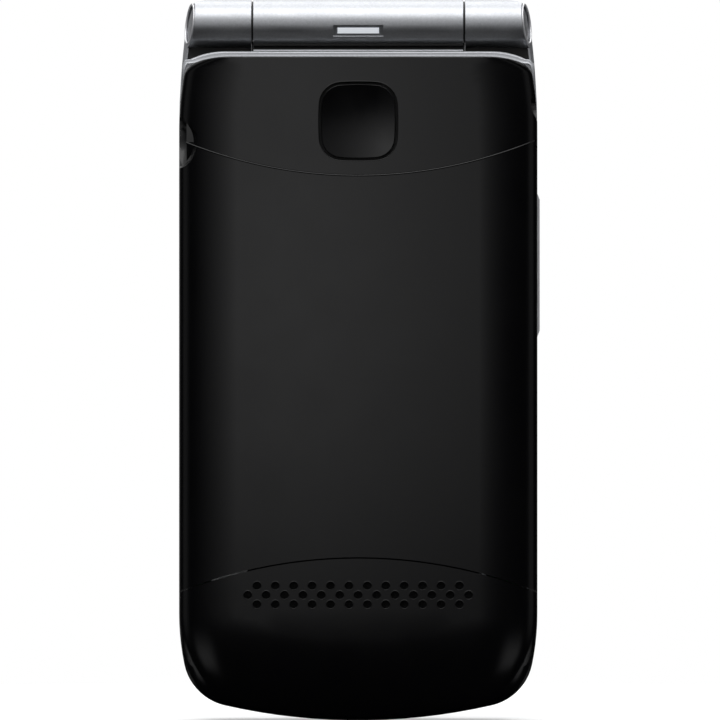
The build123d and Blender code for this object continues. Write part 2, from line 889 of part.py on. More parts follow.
def shield_cans():
    """The metal covers over the radio and the processor."""
    side, inner, deep = radio_can
    low, high = tub_high + tub_wall + radio_can_gap, body_height - radio_can_drop
    radio = box(side - half_width, -inner, board_back_y - deep, board_back_y, low, high)
    wide, deep, tall = processor_can
    start = processor_can_side - half_width
    high = tub_low - tub_wall - radio_can_gap - 0.8
    processor = box(start, start + wide, board_back_y - deep, board_back_y, high - tall, high)
    return Part() + [radio, processor]


def card_sockets():
    """The SIM socket and the memory card socket, which stand through the tub's floor."""
    sockets = []
    z = battery_bottom + card_rise
    for x, width, length in (sim_socket, card_socket):
        body = box(
            x - width / 2, x + width / 2, tub_floor_y, board_back_y, z - length / 2, z + length / 2
        )
        slot = box(
            x - width / 2 + 0.8, x + width / 2 - 0.8, tub_floor_y + 0.2, board_back_y - 0.25,
            z - length / 2 - 1, z + length / 2 - 1.0,
        )
        sockets.append(body - slot)
    return Part() + sockets


def contact_span(clear):
    """Corners of the battery contact block, with the given clearance round it."""
    width, deep, tall = contact_block
    top = battery_bottom - 0.1
    return (
        contact_block_x - width / 2 - clear,
        contact_block_x + width / 2 + clear,
        board_back_y - deep - clear,
        board_back_y + clear * 4,
        top - tall - clear,
        top + clear,
    )


def battery_contacts():
    """The block that carries the battery's three spring blades."""
    block = box(*contact_span(0))
    width, deep, tall = contact_block
    low_y, high_y = board_back_y - 0.85 * deep, board_back_y - 0.25 * deep
    end_z = battery_bottom - 0.1
    for place in (-0.3, 0.0, 0.3):
        x = contact_block_x + place * width
        block -= box(x - 0.5, x + 0.5, low_y - 0.2, high_y + 0.2, end_z - 0.6 * tall, end_z + 1)
        block += box(x - 0.3, x + 0.3, low_y, high_y, end_z - 0.7 * tall, end_z)
    return block


def battery_pack():
    """The battery in its tub."""
    half = battery_width / 2
    pack = box(-half, half, battery_back_y, battery_front_y, battery_bottom, battery_top)
    return fillet(pack.edges(), 0.7)


def usb_port():
    """The micro-USB socket in the left side: a folded shell round a tongue."""
    depth, tall, wide = usb_size
    y = usb_y()
    mouth_x = -half_width + 0.75
    half_tall = tall / 2
    half_wide = wide / 2
    ends = [
        (y + half_tall, usb_height - half_wide),
        (y + half_tall, usb_height + half_wide),
        (y - half_tall + 0.9, usb_height + half_wide),
        (y - half_tall, usb_height + half_wide - 0.9),
        (y - half_tall, usb_height - half_wide + 0.9),
        (y - half_tall + 0.9, usb_height - half_wide),
    ]
    profile = make_face(Polyline(*ends, close=True))
    body = rib(profile, mouth_x, mouth_x + depth)
    body -= rib(offset(profile, amount=-usb_wall), mouth_x - 1, mouth_x + depth - 0.5)
    low, high = usb_height - 1.9, usb_height + 1.9
    tongue = box(mouth_x + 0.6, mouth_x + depth - 0.4, y - 0.1, y + 0.4, low, high)
    return body + tongue


def jack_nozzle_start():
    """Where the headset socket's round nozzle leaves its body."""
    return half_width - 2.9


def headset_jack():
    """The headset socket: a square body on the board and a round nozzle in the side wall."""
    long, tall, wide = jack_body
    mouth_x = half_width - 0.95
    y = jack_y()
    low, high = jack_height - wide / 2, jack_height + wide / 2
    body = box(mouth_x - long, jack_nozzle_start(), y - tall / 2, y + tall / 2, low, high)
    body += rod_x(jack_nozzle_radius, jack_nozzle_start() - 0.2, mouth_x, y, jack_height)
    return body - rod_x(jack_bore_radius, mouth_x - jack_bore_depth, mouth_x + 1, y, jack_height)


def loudspeaker():
    """The loudspeaker under the grille."""
    half = speaker_width / 2
    back = inner_back_y + mesh_thickness
    top = speaker_bottom + speaker_length
    body = box(-half, half, back, back + speaker_depth, speaker_bottom, top)
    return fillet(body.edges().filter_by(Axis.Y), 1.5)


def speaker_mesh():
    """The dust mesh between the grille and the loudspeaker."""
    half = half_width - back_roll_side - shell_wall + shell_wall / 2.5 - 0.05
    tall = grille_row_pitch + grille_hole_radius + 0.1
    front = inner_back_y + mesh_thickness
    return box(-half, half, inner_back_y, front, grille_height - tall, grille_height + tall)


def vibration_motor():
    """The vibration motor, lying along the phone on the board."""
    x, y = half_width - motor_side, board_back_y - motor_radius
    upwards = (Align.CENTER, Align.CENTER, Align.MIN)
    body = Pos(x, y, motor_bottom) * Cylinder(motor_radius, motor_length, align=upwards)
    top = motor_bottom + motor_length
    start = top + 0.3
    weight = Pos(x, y, start) * Cylinder(motor_radius - 0.3, motor_weight_length, align=upwards)
    end = start + motor_weight_length
    weight &= box(x - motor_radius, x + 0.5, y - motor_radius, y + motor_radius, top, end)
    shaft = Pos(x, y, top - 0.1) * Cylinder(0.4, motor_weight_length + 0.4, align=upwards)
    return body + weight + shaft


def microphone_height():
    """Height of the microphone and its hole."""
    return microphone_bottom + microphone_size[1] / 2


def microphone():
    """The microphone on the front of the board."""
    width, tall = microphone_size
    low, high = microphone_bottom, microphone_bottom + tall
    return box(-width / 2, width / 2, board_front_y, bezel_back_y - 0.2, low, high)


def antenna():
    """The antenna on its plastic carrier at the bottom of the board."""
    width, deep, tall = antenna_size
    low, high = antenna_bottom, antenna_bottom + tall
    top_y = board_back_y - deep
    carrier = box(-width / 2, width / 2, top_y, board_back_y, low, high)
    reach = width / 2 - 2.5
    foil = box(-reach, reach, top_y - antenna_foil, top_y, low + 1, high - 1)
    foil -= box(3 - reach, reach - 2, top_y - 1, top_y + 1, low + 2.4, high - 2.4)
    return carrier + foil


def side_switches():
    """The tact switches: one behind the emergency button and two behind the volume rocker."""
    up_back = Plane(origin=(0, board_back_y, button_height), x_dir=(1, 0, 0), z_dir=(0, -1, 0))
    upwards = (Align.CENTER, Align.CENTER, Align.MIN)
    button_switch = up_back * Box(5.0, 5.0, 1.2, align=upwards)
    button_switch += up_back * Cylinder(1.2, 1.5, align=upwards)
    x = rocker_inner_x() - rocker_play
    y = rocker_y()
    switches = [button_switch]
    for side in (-1, 1):
        z = rocker_height + side * rocker_length * 0.3
        switch = box(x - 1.0, x, y - 1.1, board_back_y, z - 1.4, z + 1.4)
        switch += box(x - 1.0, x + 0.1, y - 0.6, y + 0.6, z - 0.6, z + 0.6)
        switches.append(switch)
    return Part() + switches


def rocker_inner_x():
    """The inner face of the volume rocker."""
    return half_width - shell_wall - rocker_play - rocker_flange_thickness


def volume_rocker():
    """The silver volume key, bevelled at its ends, with its flange behind the wall."""
    y = rocker_y()
    half = rocker_length / 2
    inner = rocker_inner_x()
    outer = half_width + rocker_proud
    side_view = make_face(
        Polyline(
            (inner, rocker_height - half),
            (outer - rocker_proud, rocker_height - half),
            (outer, rocker_height - half + rocker_bevel),
            (outer, rocker_height + half - rocker_bevel),
            (outer - rocker_proud, rocker_height + half),
            (inner, rocker_height + half),
            close=True,
        )
    )
    key = slab(side_view, y - rocker_width / 2, y + rocker_width / 2)
    long_edges = key.faces().sort_by(Axis.X)[-1].edges().filter_by(Axis.Z)
    key = fillet(long_edges, 0.45)
    wide = rocker_width / 2 + rocker_flange
    tall = half + rocker_flange
    flange_x = inner + rocker_flange_thickness
    low, high = rocker_height - tall, rocker_height + tall
    key += box(inner, flange_x, y - wide, y + wide - 0.3, low, high)
    groove = Pos(inner, y, rocker_height) * Rotation(-90, 0, 0)
    return key - groove * Cylinder(rocker_bead + running_fit, 2 * wide + 1)


def button_flange_shape(grow):
    """The button's retaining flange from the front, drawn larger all round by the given amount."""
    wider = button_flange + grow
    return cushion(button_hole_width + 2 * wider, button_bulge, button_corner + wider)


def emergency_button():
    """The dished button of the back, its retaining flange and the stem over its switch."""
    cap_y = back_y + 0.05
    flange_y = inner_back_y + slide_fit
    width = button_hole_width - 2 * button_gap
    place = Pos(0, button_height)
    cap = slab(place * cushion(width, button_bulge, button_corner - button_gap), cap_y, flange_y + 0.1)
    dish_radius = (button_dish_reach**2 + button_dish_depth**2) / (2 * button_dish_depth)
    dish = Pos(0, cap_y + button_dish_depth - dish_radius, button_height) * Sphere(dish_radius)
    cap -= dish
    cap += slab(place * button_flange_shape(0), flange_y, flange_y + button_flange_thickness)
    stem_end = board_back_y - 1.5 - button_travel - 0.1
    return cap + rod_y(0, button_height, button_stem_radius, flange_y, stem_end)


def cross_slot(x, z, y_low, y_high):
    """The driver slots in a screw head."""
    long, short = screw_slot_half
    across = box(x - long, x + long, y_low, y_high, z - short, z + short)
    return across + box(x - short, x + short, y_low, y_high, z - long, z + long)


def base_screws():
    """The four screws in the battery bay."""
    screws = []
    for x, z in base_post_places():
        screw = rod_y(x, z, screw_head_radius, tub_floor_y - screw_head_height, tub_floor_y)
        screw += rod_y(x, z, screw_shank_radius - press_fit, tub_floor_y, base_screw_tip())
        screw -= cross_slot(x, z, tub_floor_y - 1, tub_floor_y - 0.5)
        screws.append(screw)
    return Part() + screws


# Hinge

def bush_end_x():
    """Where the hollow pivot ends inside the left knuckle."""
    return -knuckle_start - bush_reach


def hinge_bush():
    """The hollow pivot, pressed into the barrel, that the left knuckle turns on."""
    pressed = rod_x(hinge_bore_radius - press_fit, -barrel_half + 0.1, -barrel_half + bush_grip)
    journal = rod_x(hinge_bore_radius - bush_step, bush_end_x(), -barrel_half + 0.2)
    return pressed + journal - rod_x(bush_bore_radius, bush_end_x() - 1, 0)


def hinge_can():
    """The spring and cam unit in the right half of the barrel."""
    can = rod_x(hinge_bore_radius - press_fit, can_start, barrel_half - 0.2)
    return can - rod_x(shaft_radius + running_fit, can_start + can_end_wall, barrel_half)


def shaft_head(grow):
    """The two-flatted end of the hinge shaft, drawn larger all round by the given amount."""
    flats = Rectangle(3 * shaft_head_radius, shaft_flats + 2 * grow)
    round_head = Circle(shaft_head_radius + grow) & flats
    return Pos(hinge_y, hinge_z) * round_head


def hinge_shaft():
    """The shaft that turns with the lid: a journal in the can and a flatted head in the knuckle."""
    start = can_start + can_end_wall + shaft_end_gap
    journal = rod_x(shaft_radius, start, knuckle_start + 0.4)
    return journal + rib(shaft_head(0), knuckle_start + 0.1, knuckle_start + shaft_head_length)


def end_plane(side):
    """The slanted plane that cuts off a knuckle, facing outwards; side is -1 on the left."""
    outwards = Vector(side, -slant, lean).normalized()
    return Plane(origin=(side * knuckle_half_span, lid_split_y, hinge_z), z_dir=outwards)


def cap_plane(side):
    """The end plane, centred where the hinge axis runs through it."""
    x = side * (knuckle_half_span - barrel_radius * slant)
    outwards = Vector(side, -slant, lean).normalized()
    return Plane(origin=(x, hinge_y, hinge_z), z_dir=outwards)


def lid_frame():
    """The silver lid frame with its two arms and knuckles."""
    end_z = body_height - lid_top_drop
    arms = slab(lid_outline.face(), lid_inner_y, lid_split_y)
    arms -= box(-half_width, half_width, 0, lid_outer_y, hinge_z, body_height + 1)
    arms -= box(-knuckle_start, knuckle_start, 0, lid_outer_y, end_z, body_height + 1)
    knuckle = rod_x(barrel_radius, knuckle_start, half_width)
    frame = arms + both_sides(knuckle & slab(lid_outline.face(), -barrel_radius, lid_split_y))
    for side in (-1, 1):
        frame = split(frame, bisect_by=end_plane(side), keep=Keep.BOTTOM)
        frame -= cap_plane(side) * Pos(0, 0, -cap_depth / 2 + 0.5) * Cylinder(
            cap_radius + cap_groove, cap_depth + 1
        )
    inner = shell_outline.inset(frame_wall, frame_wall, frame_wall)
    frame -= slab(inner.face(), lid_inner_y - 1, lid_split_y + 1)
    rebate = inner.inset(-bezel_rebate, -bezel_rebate, -bezel_rebate)
    frame -= slab(rebate.face(), lid_inner_y - 1, lid_bezel_back_y)
    journal_bore = hinge_bore_radius - bush_step + running_fit
    frame -= rod_x(journal_bore, bush_end_x() - 0.2, -knuckle_start + 1)
    chamber_x = bush_end_x() - ribbon_chamber_length
    frame -= rod_x(ribbon_chamber_radius, chamber_x, bush_end_x())
    groove = (chamber_x + 0.2, bush_end_x() - 0.4)
    groove_back = ribbon_y() + 0.5
    groove_top = hinge_z + 0.4
    frame -= box(*groove, hinge_y, groove_back, hinge_z - 0.4, groove_top)
    frame -= box(*groove, ribbon_y() - 0.2, groove_back, body_height - ribbon_groove_drop, groove_top)
    return frame - rib(shaft_head(press_fit), knuckle_start - 1, knuckle_start + shaft_head_length + 0.1)


def ribbon_y():
    """Depth of the display ribbon where it runs down the left arm."""
    return lid_bezel_back_y + 0.3


def ribbon_left():
    """The left edge of the display ribbon where it leaves the hollow pivot."""
    return bush_end_x() - ribbon_width - 0.6


def display_flex():
    """The display ribbon: rolled up on the hinge axis, then down the arm to the lid board."""
    ribbon = ribbon_thickness
    x_low = ribbon_left()
    x_high = x_low + ribbon_width
    y = ribbon_y()
    foot_z = lid_board_top() - 1.5
    flex = rod_x(1.2, x_low, -7.0)
    flex += box(x_low, x_high, hinge_y, y + ribbon, hinge_z - ribbon / 2, hinge_z + ribbon / 2)
    flex += box(x_low, x_high, y, y + ribbon, foot_z, hinge_z + ribbon / 2)
    return flex + box(x_low, x_high, y, lid_board_y, foot_z, foot_z + ribbon)


def hinge_end_caps():
    """The round caps in the ends of the knuckles, slightly domed."""
    caps = []
    for side in (-1, 1):
        plane = cap_plane(side)
        cap = plane * Pos(0, 0, -cap_depth / 2 - 0.02) * Cylinder(cap_radius, cap_depth - 0.06)
        dome_centre = plane * Pos(0, 0, -0.05 - 16.0)
        caps.append(cap & (dome_centre * Sphere(16.0)))
    return Part() + caps


# Lid

def lid_form():
    """The outside of the lid's outer shell."""
    straight = slab(shell_outline.face(), lid_split_y, lid_roll_y)
    return straight + pillow(
        shell_outline, lid_roll_y, lid_outer_y, (lid_roll_side, lid_roll_bottom, lid_roll_top)
    )


def lid_cavity():
    """The inside of the lid's outer shell."""
    inner = shell_outline.inset(shell_wall, shell_wall, shell_wall)
    less = shell_wall / 2.5
    roll = (lid_roll_side - less, lid_roll_bottom - less, lid_roll_top - less)
    straight = slab(inner.face(), lid_split_y, lid_roll_y)
    return straight + pillow(inner, lid_roll_y, inner_lid_y, roll)


def bumper_places():
    """Where the lid's screws and the bumpers over them are."""
    return [(side * bumper_x, z) for side in (-1, 1) for z in (bumper_low, bumper_high)]


def lens_area(size, height, grow, corner):
    """A window outline, drawn larger all round by the given amount."""
    width, tall = (side + 2 * grow for side in size)
    return Pos(0, height) * RectangleRounded(width, tall, corner)


def lid_outer_shell():
    """The black outside of the lid, with its window, its camera hole and its screw posts."""
    shell = lid_form() - lid_cavity()
    for x, z in bumper_places():
        shell += rod_y(x, z, post_radius, lid_bezel_back_y, lid_outer_y) & lid_form_with_room()
    for x, z in bumper_places():
        shell -= rod_y(x, z, screw_shank_radius, lid_bezel_back_y - 1, lid_screw_tip())
    lens = lens_area(outer_lens_size, outer_lens_height, running_fit, 3.0)
    shell -= slab(lens, lid_outer_y - outer_lens_thickness, lid_outer_y + 1)
    window = lens_area(outer_lens_size, outer_lens_height, -1.5, 2.0)
    shell -= slab(window, inner_lid_y - 1, lid_outer_y)
    ring_hole = camera_ring_radius + running_fit
    return shell - rod_y(0, camera_height, ring_hole, inner_lid_y - 1, lid_outer_y + 1)


def lid_form_with_room():
    """The lid's outside, and the space in front of it that the screw posts stand in."""
    return lid_form() + slab(shell_outline.inset(2, 2, 2).face(), lid_bezel_back_y, lid_split_y)


def lid_screw_tip():
    """Where the lid screws end, inside their posts."""
    return lid_bezel_back_y + lid_screw_grip


def lid_bezel():
    """The panel inside the lid, with the display window, the earpiece slot and the screw seats."""
    less = frame_wall - bezel_rebate + 0.05
    plate = slab(shell_outline.inset(less, less, less).face(), lid_bezel_y, lid_bezel_back_y)
    pocket = lens_area(main_lens_size, main_lens_height, running_fit, main_lens_corner)
    plate -= slab(pocket, lid_bezel_y - 1, lens_back_y())
    window = lens_area(main_lens_size, main_lens_height, -window_margin, 1.0)
    plate -= slab(window, lid_bezel_y - 1, lid_bezel_back_y + 1)
    slot = Pos(0, earpiece_height) * SlotOverall(*earpiece_slot)
    plate -= slab(slot, lid_bezel_y - 1, lid_bezel_back_y + 1)
    for x, z in bumper_places():
        seat = lid_bezel_y + lid_screw_seat
        plate -= rod_y(x, z, bumper_radius + bumper_clear, lid_bezel_y - 1, seat)
        plate -= rod_y(x, z, screw_shank_radius + 0.1, lid_bezel_y - 1, lid_bezel_back_y + 1)
    return plate


def lens_back_y():
    """The back of the main display's lens, which sits a little below the bezel's face."""
    return lid_bezel_y + 0.05 + main_lens_thickness


def main_lens():
    """The clear cover of the main display."""
    face = lens_area(main_lens_size, main_lens_height, 0, main_lens_corner)
    return slab(face, lens_back_y() - main_lens_thickness, lens_back_y())


def main_display():
    """The main display module behind the bezel."""
    face = lens_area(main_lens_size, main_lens_height, -display_margin, 0.6)
    return slab(face, lid_bezel_back_y, lid_bezel_back_y + display_thickness)


def outer_lens():
    """The clear window in the outside of the lid."""
    face = lens_area(outer_lens_size, outer_lens_height, 0, 3.0)
    return slab(face, lid_outer_y - outer_lens_thickness, lid_outer_y)


def outer_display():
    """The small display behind the outer window."""
    face = lens_area(outer_lens_size, outer_lens_height, -0.4, 0.6)
    return slab(face, inner_lid_y - outer_display_thickness, inner_lid_y)


def lid_board_top():
    """The upper edge of the lid board."""
    return body_height - lid_board_drop


def lid_board():
    """The lid's circuit board, between its two displays."""
    bottom = outer_lens_height - outer_lens_size[1]
    top = lid_board_top()
    side = half_width - lid_board_side
    board = box(-side, side, lid_board_y, lid_board_back_y, bottom, top)
    tab = box(ribbon_left() - 0.2, 0, lid_board_y, lid_board_back_y, top - 6, top)
    for x, z in bumper_places():
        tab -= rod_y(x, z, post_radius + 0.3, lid_board_y - 1, lid_board_back_y + 1)
    return board + tab


def camera_ring():
    """The trim ring round the camera's glass."""
    ring = Circle(camera_ring_radius) - Circle(camera_glass_radius)
    trim = slab(Pos(0, camera_height) * ring, inner_lid_y + 0.2, lid_outer_y)
    glass = Pos(0, camera_height) * Circle(camera_glass_radius + 0.3)
    return trim + slab(glass, inner_lid_y + 0.3, inner_lid_y + 0.7)


def camera_module():
    """The camera on the lid board."""
    half = camera_size / 2
    top = inner_lid_y - 0.2
    body = box(
        -half, half, lid_board_back_y, top - 1.0, camera_height - half, camera_height + half
    )
    return body + rod_y(0, camera_height, half - 1, top - 1.2, top)


def earpiece():
    """The earpiece behind its slot."""
    width, deep, tall = earpiece_size
    low, high = earpiece_height - tall / 2, earpiece_height + tall / 2
    return box(-width / 2, width / 2, lid_bezel_back_y, lid_bezel_back_y + deep, low, high)


def lid_screws():
    """The four screws of the lid, under the bumpers."""
    screws = []
    for x, z in bumper_places():
        seat = lid_bezel_y + lid_screw_seat
        head = seat - lid_screw_head_height
        screw = rod_y(x, z, screw_head_radius, head, seat)
        screw += rod_y(x, z, screw_shank_radius - press_fit, seat, lid_screw_tip())
        screw -= cross_slot(x, z, head - 0.2, head + 0.3)
        screws.append(screw)
    return Part() + screws


def lid_bumpers():
    """The soft buttons that the closed lid rests on."""
    top = lid_bezel_y + 0.4
    return Part() + [
        rod_y(x, z, bumper_radius, base_front_y + bumper_clear, top) for x, z in bumper_places()
    ]


def make_parts():
    """Every sub-part by its name."""
    makers = [
        base_rear_shell, base_front_frame, keypad_bezel, key_mat, switch_domes, main_board,
        shield_cans, card_sockets, battery_contacts, battery_pack, usb_port, headset_jack,
        loudspeaker, speaker_mesh, vibration_motor, microphone, antenna, light_bar_lens,
        light_bar_board, side_switches, base_screws, hinge_bush, hinge_can, battery_door,
        emergency_button, volume_rocker, nav_rocker, lid_frame, lid_outer_shell, lid_bezel,
        main_lens, main_display, outer_lens, outer_display, camera_ring, camera_module, earpiece,
        lid_board, display_flex, hinge_shaft, hinge_end_caps, lid_bumpers, lid_screws,
    ]
    parts = {maker.__name__: maker() for maker in makers}
    for key in keypad():
        parts[key.name] = key_cap(key)
    return parts


os.makedirs("parts", exist_ok=True)
for name, shape in make_parts().items():
    export_step(shape, f"parts/{name}.step")
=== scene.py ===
"""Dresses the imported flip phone: its finishes, its fine detail, and the studio it stands in."""

import json
import logging
from dataclasses import dataclass, field
from enum import Enum
from math import atan2, cos, dist, pi, radians, sin, sqrt
from typing import Dict, List, Optional, Sequence, Tuple

import bmesh
import bpy
from mathutils import Matrix, Vector


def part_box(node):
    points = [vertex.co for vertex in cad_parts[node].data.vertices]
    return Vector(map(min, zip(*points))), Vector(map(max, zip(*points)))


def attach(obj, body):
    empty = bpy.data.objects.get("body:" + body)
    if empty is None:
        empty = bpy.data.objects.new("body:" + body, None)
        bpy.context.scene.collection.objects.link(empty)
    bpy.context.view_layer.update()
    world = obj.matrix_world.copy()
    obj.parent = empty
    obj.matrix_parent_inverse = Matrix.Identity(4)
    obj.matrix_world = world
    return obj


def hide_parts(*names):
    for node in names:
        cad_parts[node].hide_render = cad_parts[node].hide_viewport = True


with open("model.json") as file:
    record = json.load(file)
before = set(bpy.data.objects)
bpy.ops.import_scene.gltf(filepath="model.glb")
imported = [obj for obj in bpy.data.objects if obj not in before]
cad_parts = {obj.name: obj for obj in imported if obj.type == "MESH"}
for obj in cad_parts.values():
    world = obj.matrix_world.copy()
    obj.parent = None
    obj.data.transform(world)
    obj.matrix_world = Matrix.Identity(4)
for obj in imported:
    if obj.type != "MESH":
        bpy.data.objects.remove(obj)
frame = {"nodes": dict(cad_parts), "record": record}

logging.basicConfig(level=logging.INFO, format="%(name)s: %(message)s")
LOG = logging.getLogger("phone")

MM = 0.001
Pair = Tuple[float, float]
Point = Tuple[float, float, float]
Colour = Tuple[float, float, float, float]
Node = bpy.types.Node
Socket = bpy.types.NodeSocket
Tree = bpy.types.NodeTree
Mesh = bpy.types.Mesh
Drawing = bmesh.types.BMesh
Ring = List[bmesh.types.BMVert]


# --------------------------------------------------------------------------------- shader tools


def linear(hex_colour: str, alpha: float = 1.0) -> Colour:
    """Turns an sRGB hex value into the linear colour that a shader socket takes.

    Args:
        hex_colour: six hex digits, such as "c8cacd".
        alpha: the fourth value, left as it is.

    Returns:
        Linear red, green and blue, and alpha.
    """
    parts = [int(hex_colour[i : i + 2], 16) / 255 for i in (0, 2, 4)]
    red, green, blue = (
        part / 12.92 if part <= 0.04045 else ((part + 0.055) / 1.055) ** 2.4 for part in parts
    )
    return (red, green, blue, alpha)


def add_node(
    tree: Tree,
    kind: str,
    settings: Optional[Dict[str, object]] = None,
    inputs: Optional[Dict[object, object]] = None,
) -> Node:
    """Adds one node with its settings, its socket values and its incoming links.

    Args:
        tree: the node tree that gets the node.
        kind: the node's type, such as "ShaderNodeTexNoise".
        settings: the node's own properties, by name.
        inputs: for each input, by its name or number, a value, a socket to link from, or a list
            of sockets that are all linked to it.

    Returns:
        The new node.
    """
    node = tree.nodes.new(kind)
    for name, value in (settings or {}).items():
        setattr(node, name, value)
    for name, value in (inputs or {}).items():
        for source in value if isinstance(value, list) else [value]:
            if isinstance(source, Socket):
                tree.links.new(source, node.inputs[name])
            else:
                node.inputs[name].default_value = source
    return node


def folded(tree: Tree, operation: str, *values: object) -> Socket:
    """Joins any count of values or masks by one sum, two at a time.

    Args:
        tree: the tree that gets the sums.
        operation: the sum, such as "MULTIPLY" or "MAXIMUM".
        values: numbers or sockets.

    Returns:
        The result's socket.
    """
    result = values[0]
    for value in values[1:]:
        settings = {"operation": operation}
        result = add_node(tree, "ShaderNodeMath", settings, {0: result, 1: value}).outputs[0]
    return result


def waves_per_metre(size_mm: float) -> float:
    """The texture scale at which one cell of a pattern measures the given length."""
    return 1000.0 / size_mm


# ------------------------------------------------------------------------------------ finishes


@dataclass(frozen=True)
class Finish:
    """A surface: its base numbers, and a fine mottle and grain over them."""

    name: str
    colour: str
    roughness: float
    metallic: float = 0.0
    ior: float = 1.5
    coat: float = 0.0
    coat_roughness: float = 0.1
    mottle_mm: float = 3.0
    mottle: float = 0.08
    mottle_detail: float = 5.0
    mottle_span: Pair = (0.3, 0.7)
    wear: float = 0.04
    grain_mm: float = 0.3
    grain_depth_mm: float = 0.002
    edge_mm: float = 0.1

    def tinted(self, factor: float) -> Colour:
        """The base colour made darker or brighter by a factor."""
        return tuple(min(1.0, part * factor) for part in linear(self.colour)[:3]) + (1.0,)

    def worn(self) -> Pair:
        """The least and the most roughness."""
        return (max(0.02, self.roughness - self.wear), min(1.0, self.roughness + self.wear))

    def paint(self, shader: Node, pattern: Socket, first: Colour, second: Colour) -> None:
        """Colours the surface by a pattern.

        Args:
            shader: the material's principled shader.
            pattern: the pattern.
            first: the colour where the pattern is 0.
            second: the colour where it is 1.
        """
        tree = shader.id_data
        settings = {"data_type": "RGBA"}
        mix = add_node(tree, "ShaderNodeMix", settings, {0: pattern, 6: first, 7: second})
        tree.links.new(mix.outputs[2], shader.inputs["Base Color"])

    def gloss(self, shader: Node, pattern: Socket, limits: Pair) -> None:
        """Varies the roughness by a pattern.

        Args:
            shader: the material's principled shader.
            pattern: the pattern, whose values mostly lie in the mottle's span.
            limits: the least and the most roughness.
        """
        tree = shader.id_data
        inputs = {"Value": pattern, "From Min": self.mottle_span[0], "From Max": self.mottle_span[1]}
        inputs.update({"To Min": limits[0], "To Max": limits[1]})
        mapped = add_node(tree, "ShaderNodeMapRange", {"clamp": True}, inputs)
        tree.links.new(mapped.outputs["Result"], shader.inputs["Roughness"])

    def relief(self, shader: Node, height: Socket, depth_mm: float, strength: float = 1.0) -> None:
        """Raises a pattern off the surface, whose sharp edges are shaded as if rounded.

        Args:
            shader: the material's principled shader.
            height: the pattern, from 0 to 1.
            depth_mm: the height that 1 stands for.
            strength: how much of the slope is used.
        """
        tree = shader.id_data
        inputs = {"Strength": strength, "Distance": depth_mm * MM, "Height": height}
        if self.edge_mm > 0:
            edge = add_node(tree, "ShaderNodeBevel", {"samples": 6}, {"Radius": self.edge_mm * MM})
            inputs["Normal"] = edge.outputs["Normal"]
        bump = add_node(tree, "ShaderNodeBump", inputs=inputs)
        tree.links.new(bump.outputs["Normal"], shader.inputs["Normal"])

    def pattern(self, shader: Node) -> None:
        """Lays the mottle, the wear and the grain on the principled shader.

        Args:
            shader: the material's principled shader.
        """
        tree = shader.id_data
        place = add_node(tree, "ShaderNodeTexCoord").outputs["Object"]
        scale = waves_per_metre(self.mottle_mm)
        inputs = {"Vector": place, "Scale": scale, "Detail": self.mottle_detail}
        mottle = add_node(tree, "ShaderNodeTexNoise", inputs=inputs).outputs["Fac"]
        self.paint(shader, mottle, self.tinted(1 - self.mottle), self.tinted(1 + self.mottle))
        self.gloss(shader, mottle, self.worn())
        inputs = {"Vector": place, "Scale": waves_per_metre(self.grain_mm), "Detail": 2.0}
        grain = add_node(tree, "ShaderNodeTexNoise", inputs=inputs).outputs["Fac"]
        self.relief(shader, grain, self.grain_depth_mm)

    def make(self) -> bpy.types.Material:
        """Builds the material: plain values on the shader's own sockets, then the pattern.

        Returns:
            The finished material.
        """
        material = bpy.data.materials.new(self.name)
        material.use_nodes = True
        material.diffuse_color = linear(self.colour)
        shader = material.node_tree.nodes["Principled BSDF"]
        shader.inputs["Base Color"].default_value = linear(self.colour)
        shader.inputs["Metallic"].default_value = self.metallic
        shader.inputs["Roughness"].default_value = self.roughness
        if self.metallic < 0.5:
            shader.inputs["IOR"].default_value = self.ior
        if self.coat > 0:
            shader.inputs["Coat Weight"].default_value = self.coat
            shader.inputs["Coat Roughness"].default_value = self.coat_roughness
        self.pattern(shader)
        return material


@dataclass(frozen=True)
class FlakeLacquer(Finish):
    """Silver lacquer on a moulding: aluminium flakes under a clear coat, drawn 0.2 mm wide to show."""

    mottle_detail: float = 4.0
    flake_mm: float = 0.2
    flake_tilt: float = 0.25

    def pattern(self, shader: Node) -> None:
        """Scatters the flakes, each with its own tilt and brightness, and hazes the coat.

        Args:
            shader: the material's principled shader.
        """
        tree = shader.id_data
        place = add_node(tree, "ShaderNodeTexCoord").outputs["Object"]
        inputs = {"Vector": place, "Scale": waves_per_metre(self.flake_mm)}
        cells = add_node(tree, "ShaderNodeTexVoronoi", inputs=inputs).outputs["Color"]
        flakes = add_node(tree, "ShaderNodeSeparateColor", inputs={"Color": cells}).outputs
        self.paint(shader, flakes["Red"], self.tinted(1 - self.mottle), self.tinted(1 + self.mottle))
        scale = waves_per_metre(self.mottle_mm)
        inputs = {"Vector": place, "Scale": scale, "Detail": self.mottle_detail}
        haze = add_node(tree, "ShaderNodeTexNoise", inputs=inputs).outputs["Fac"]
        self.gloss(shader, haze, self.worn())
        self.relief(shader, flakes["Green"], self.grain_depth_mm, self.flake_tilt)


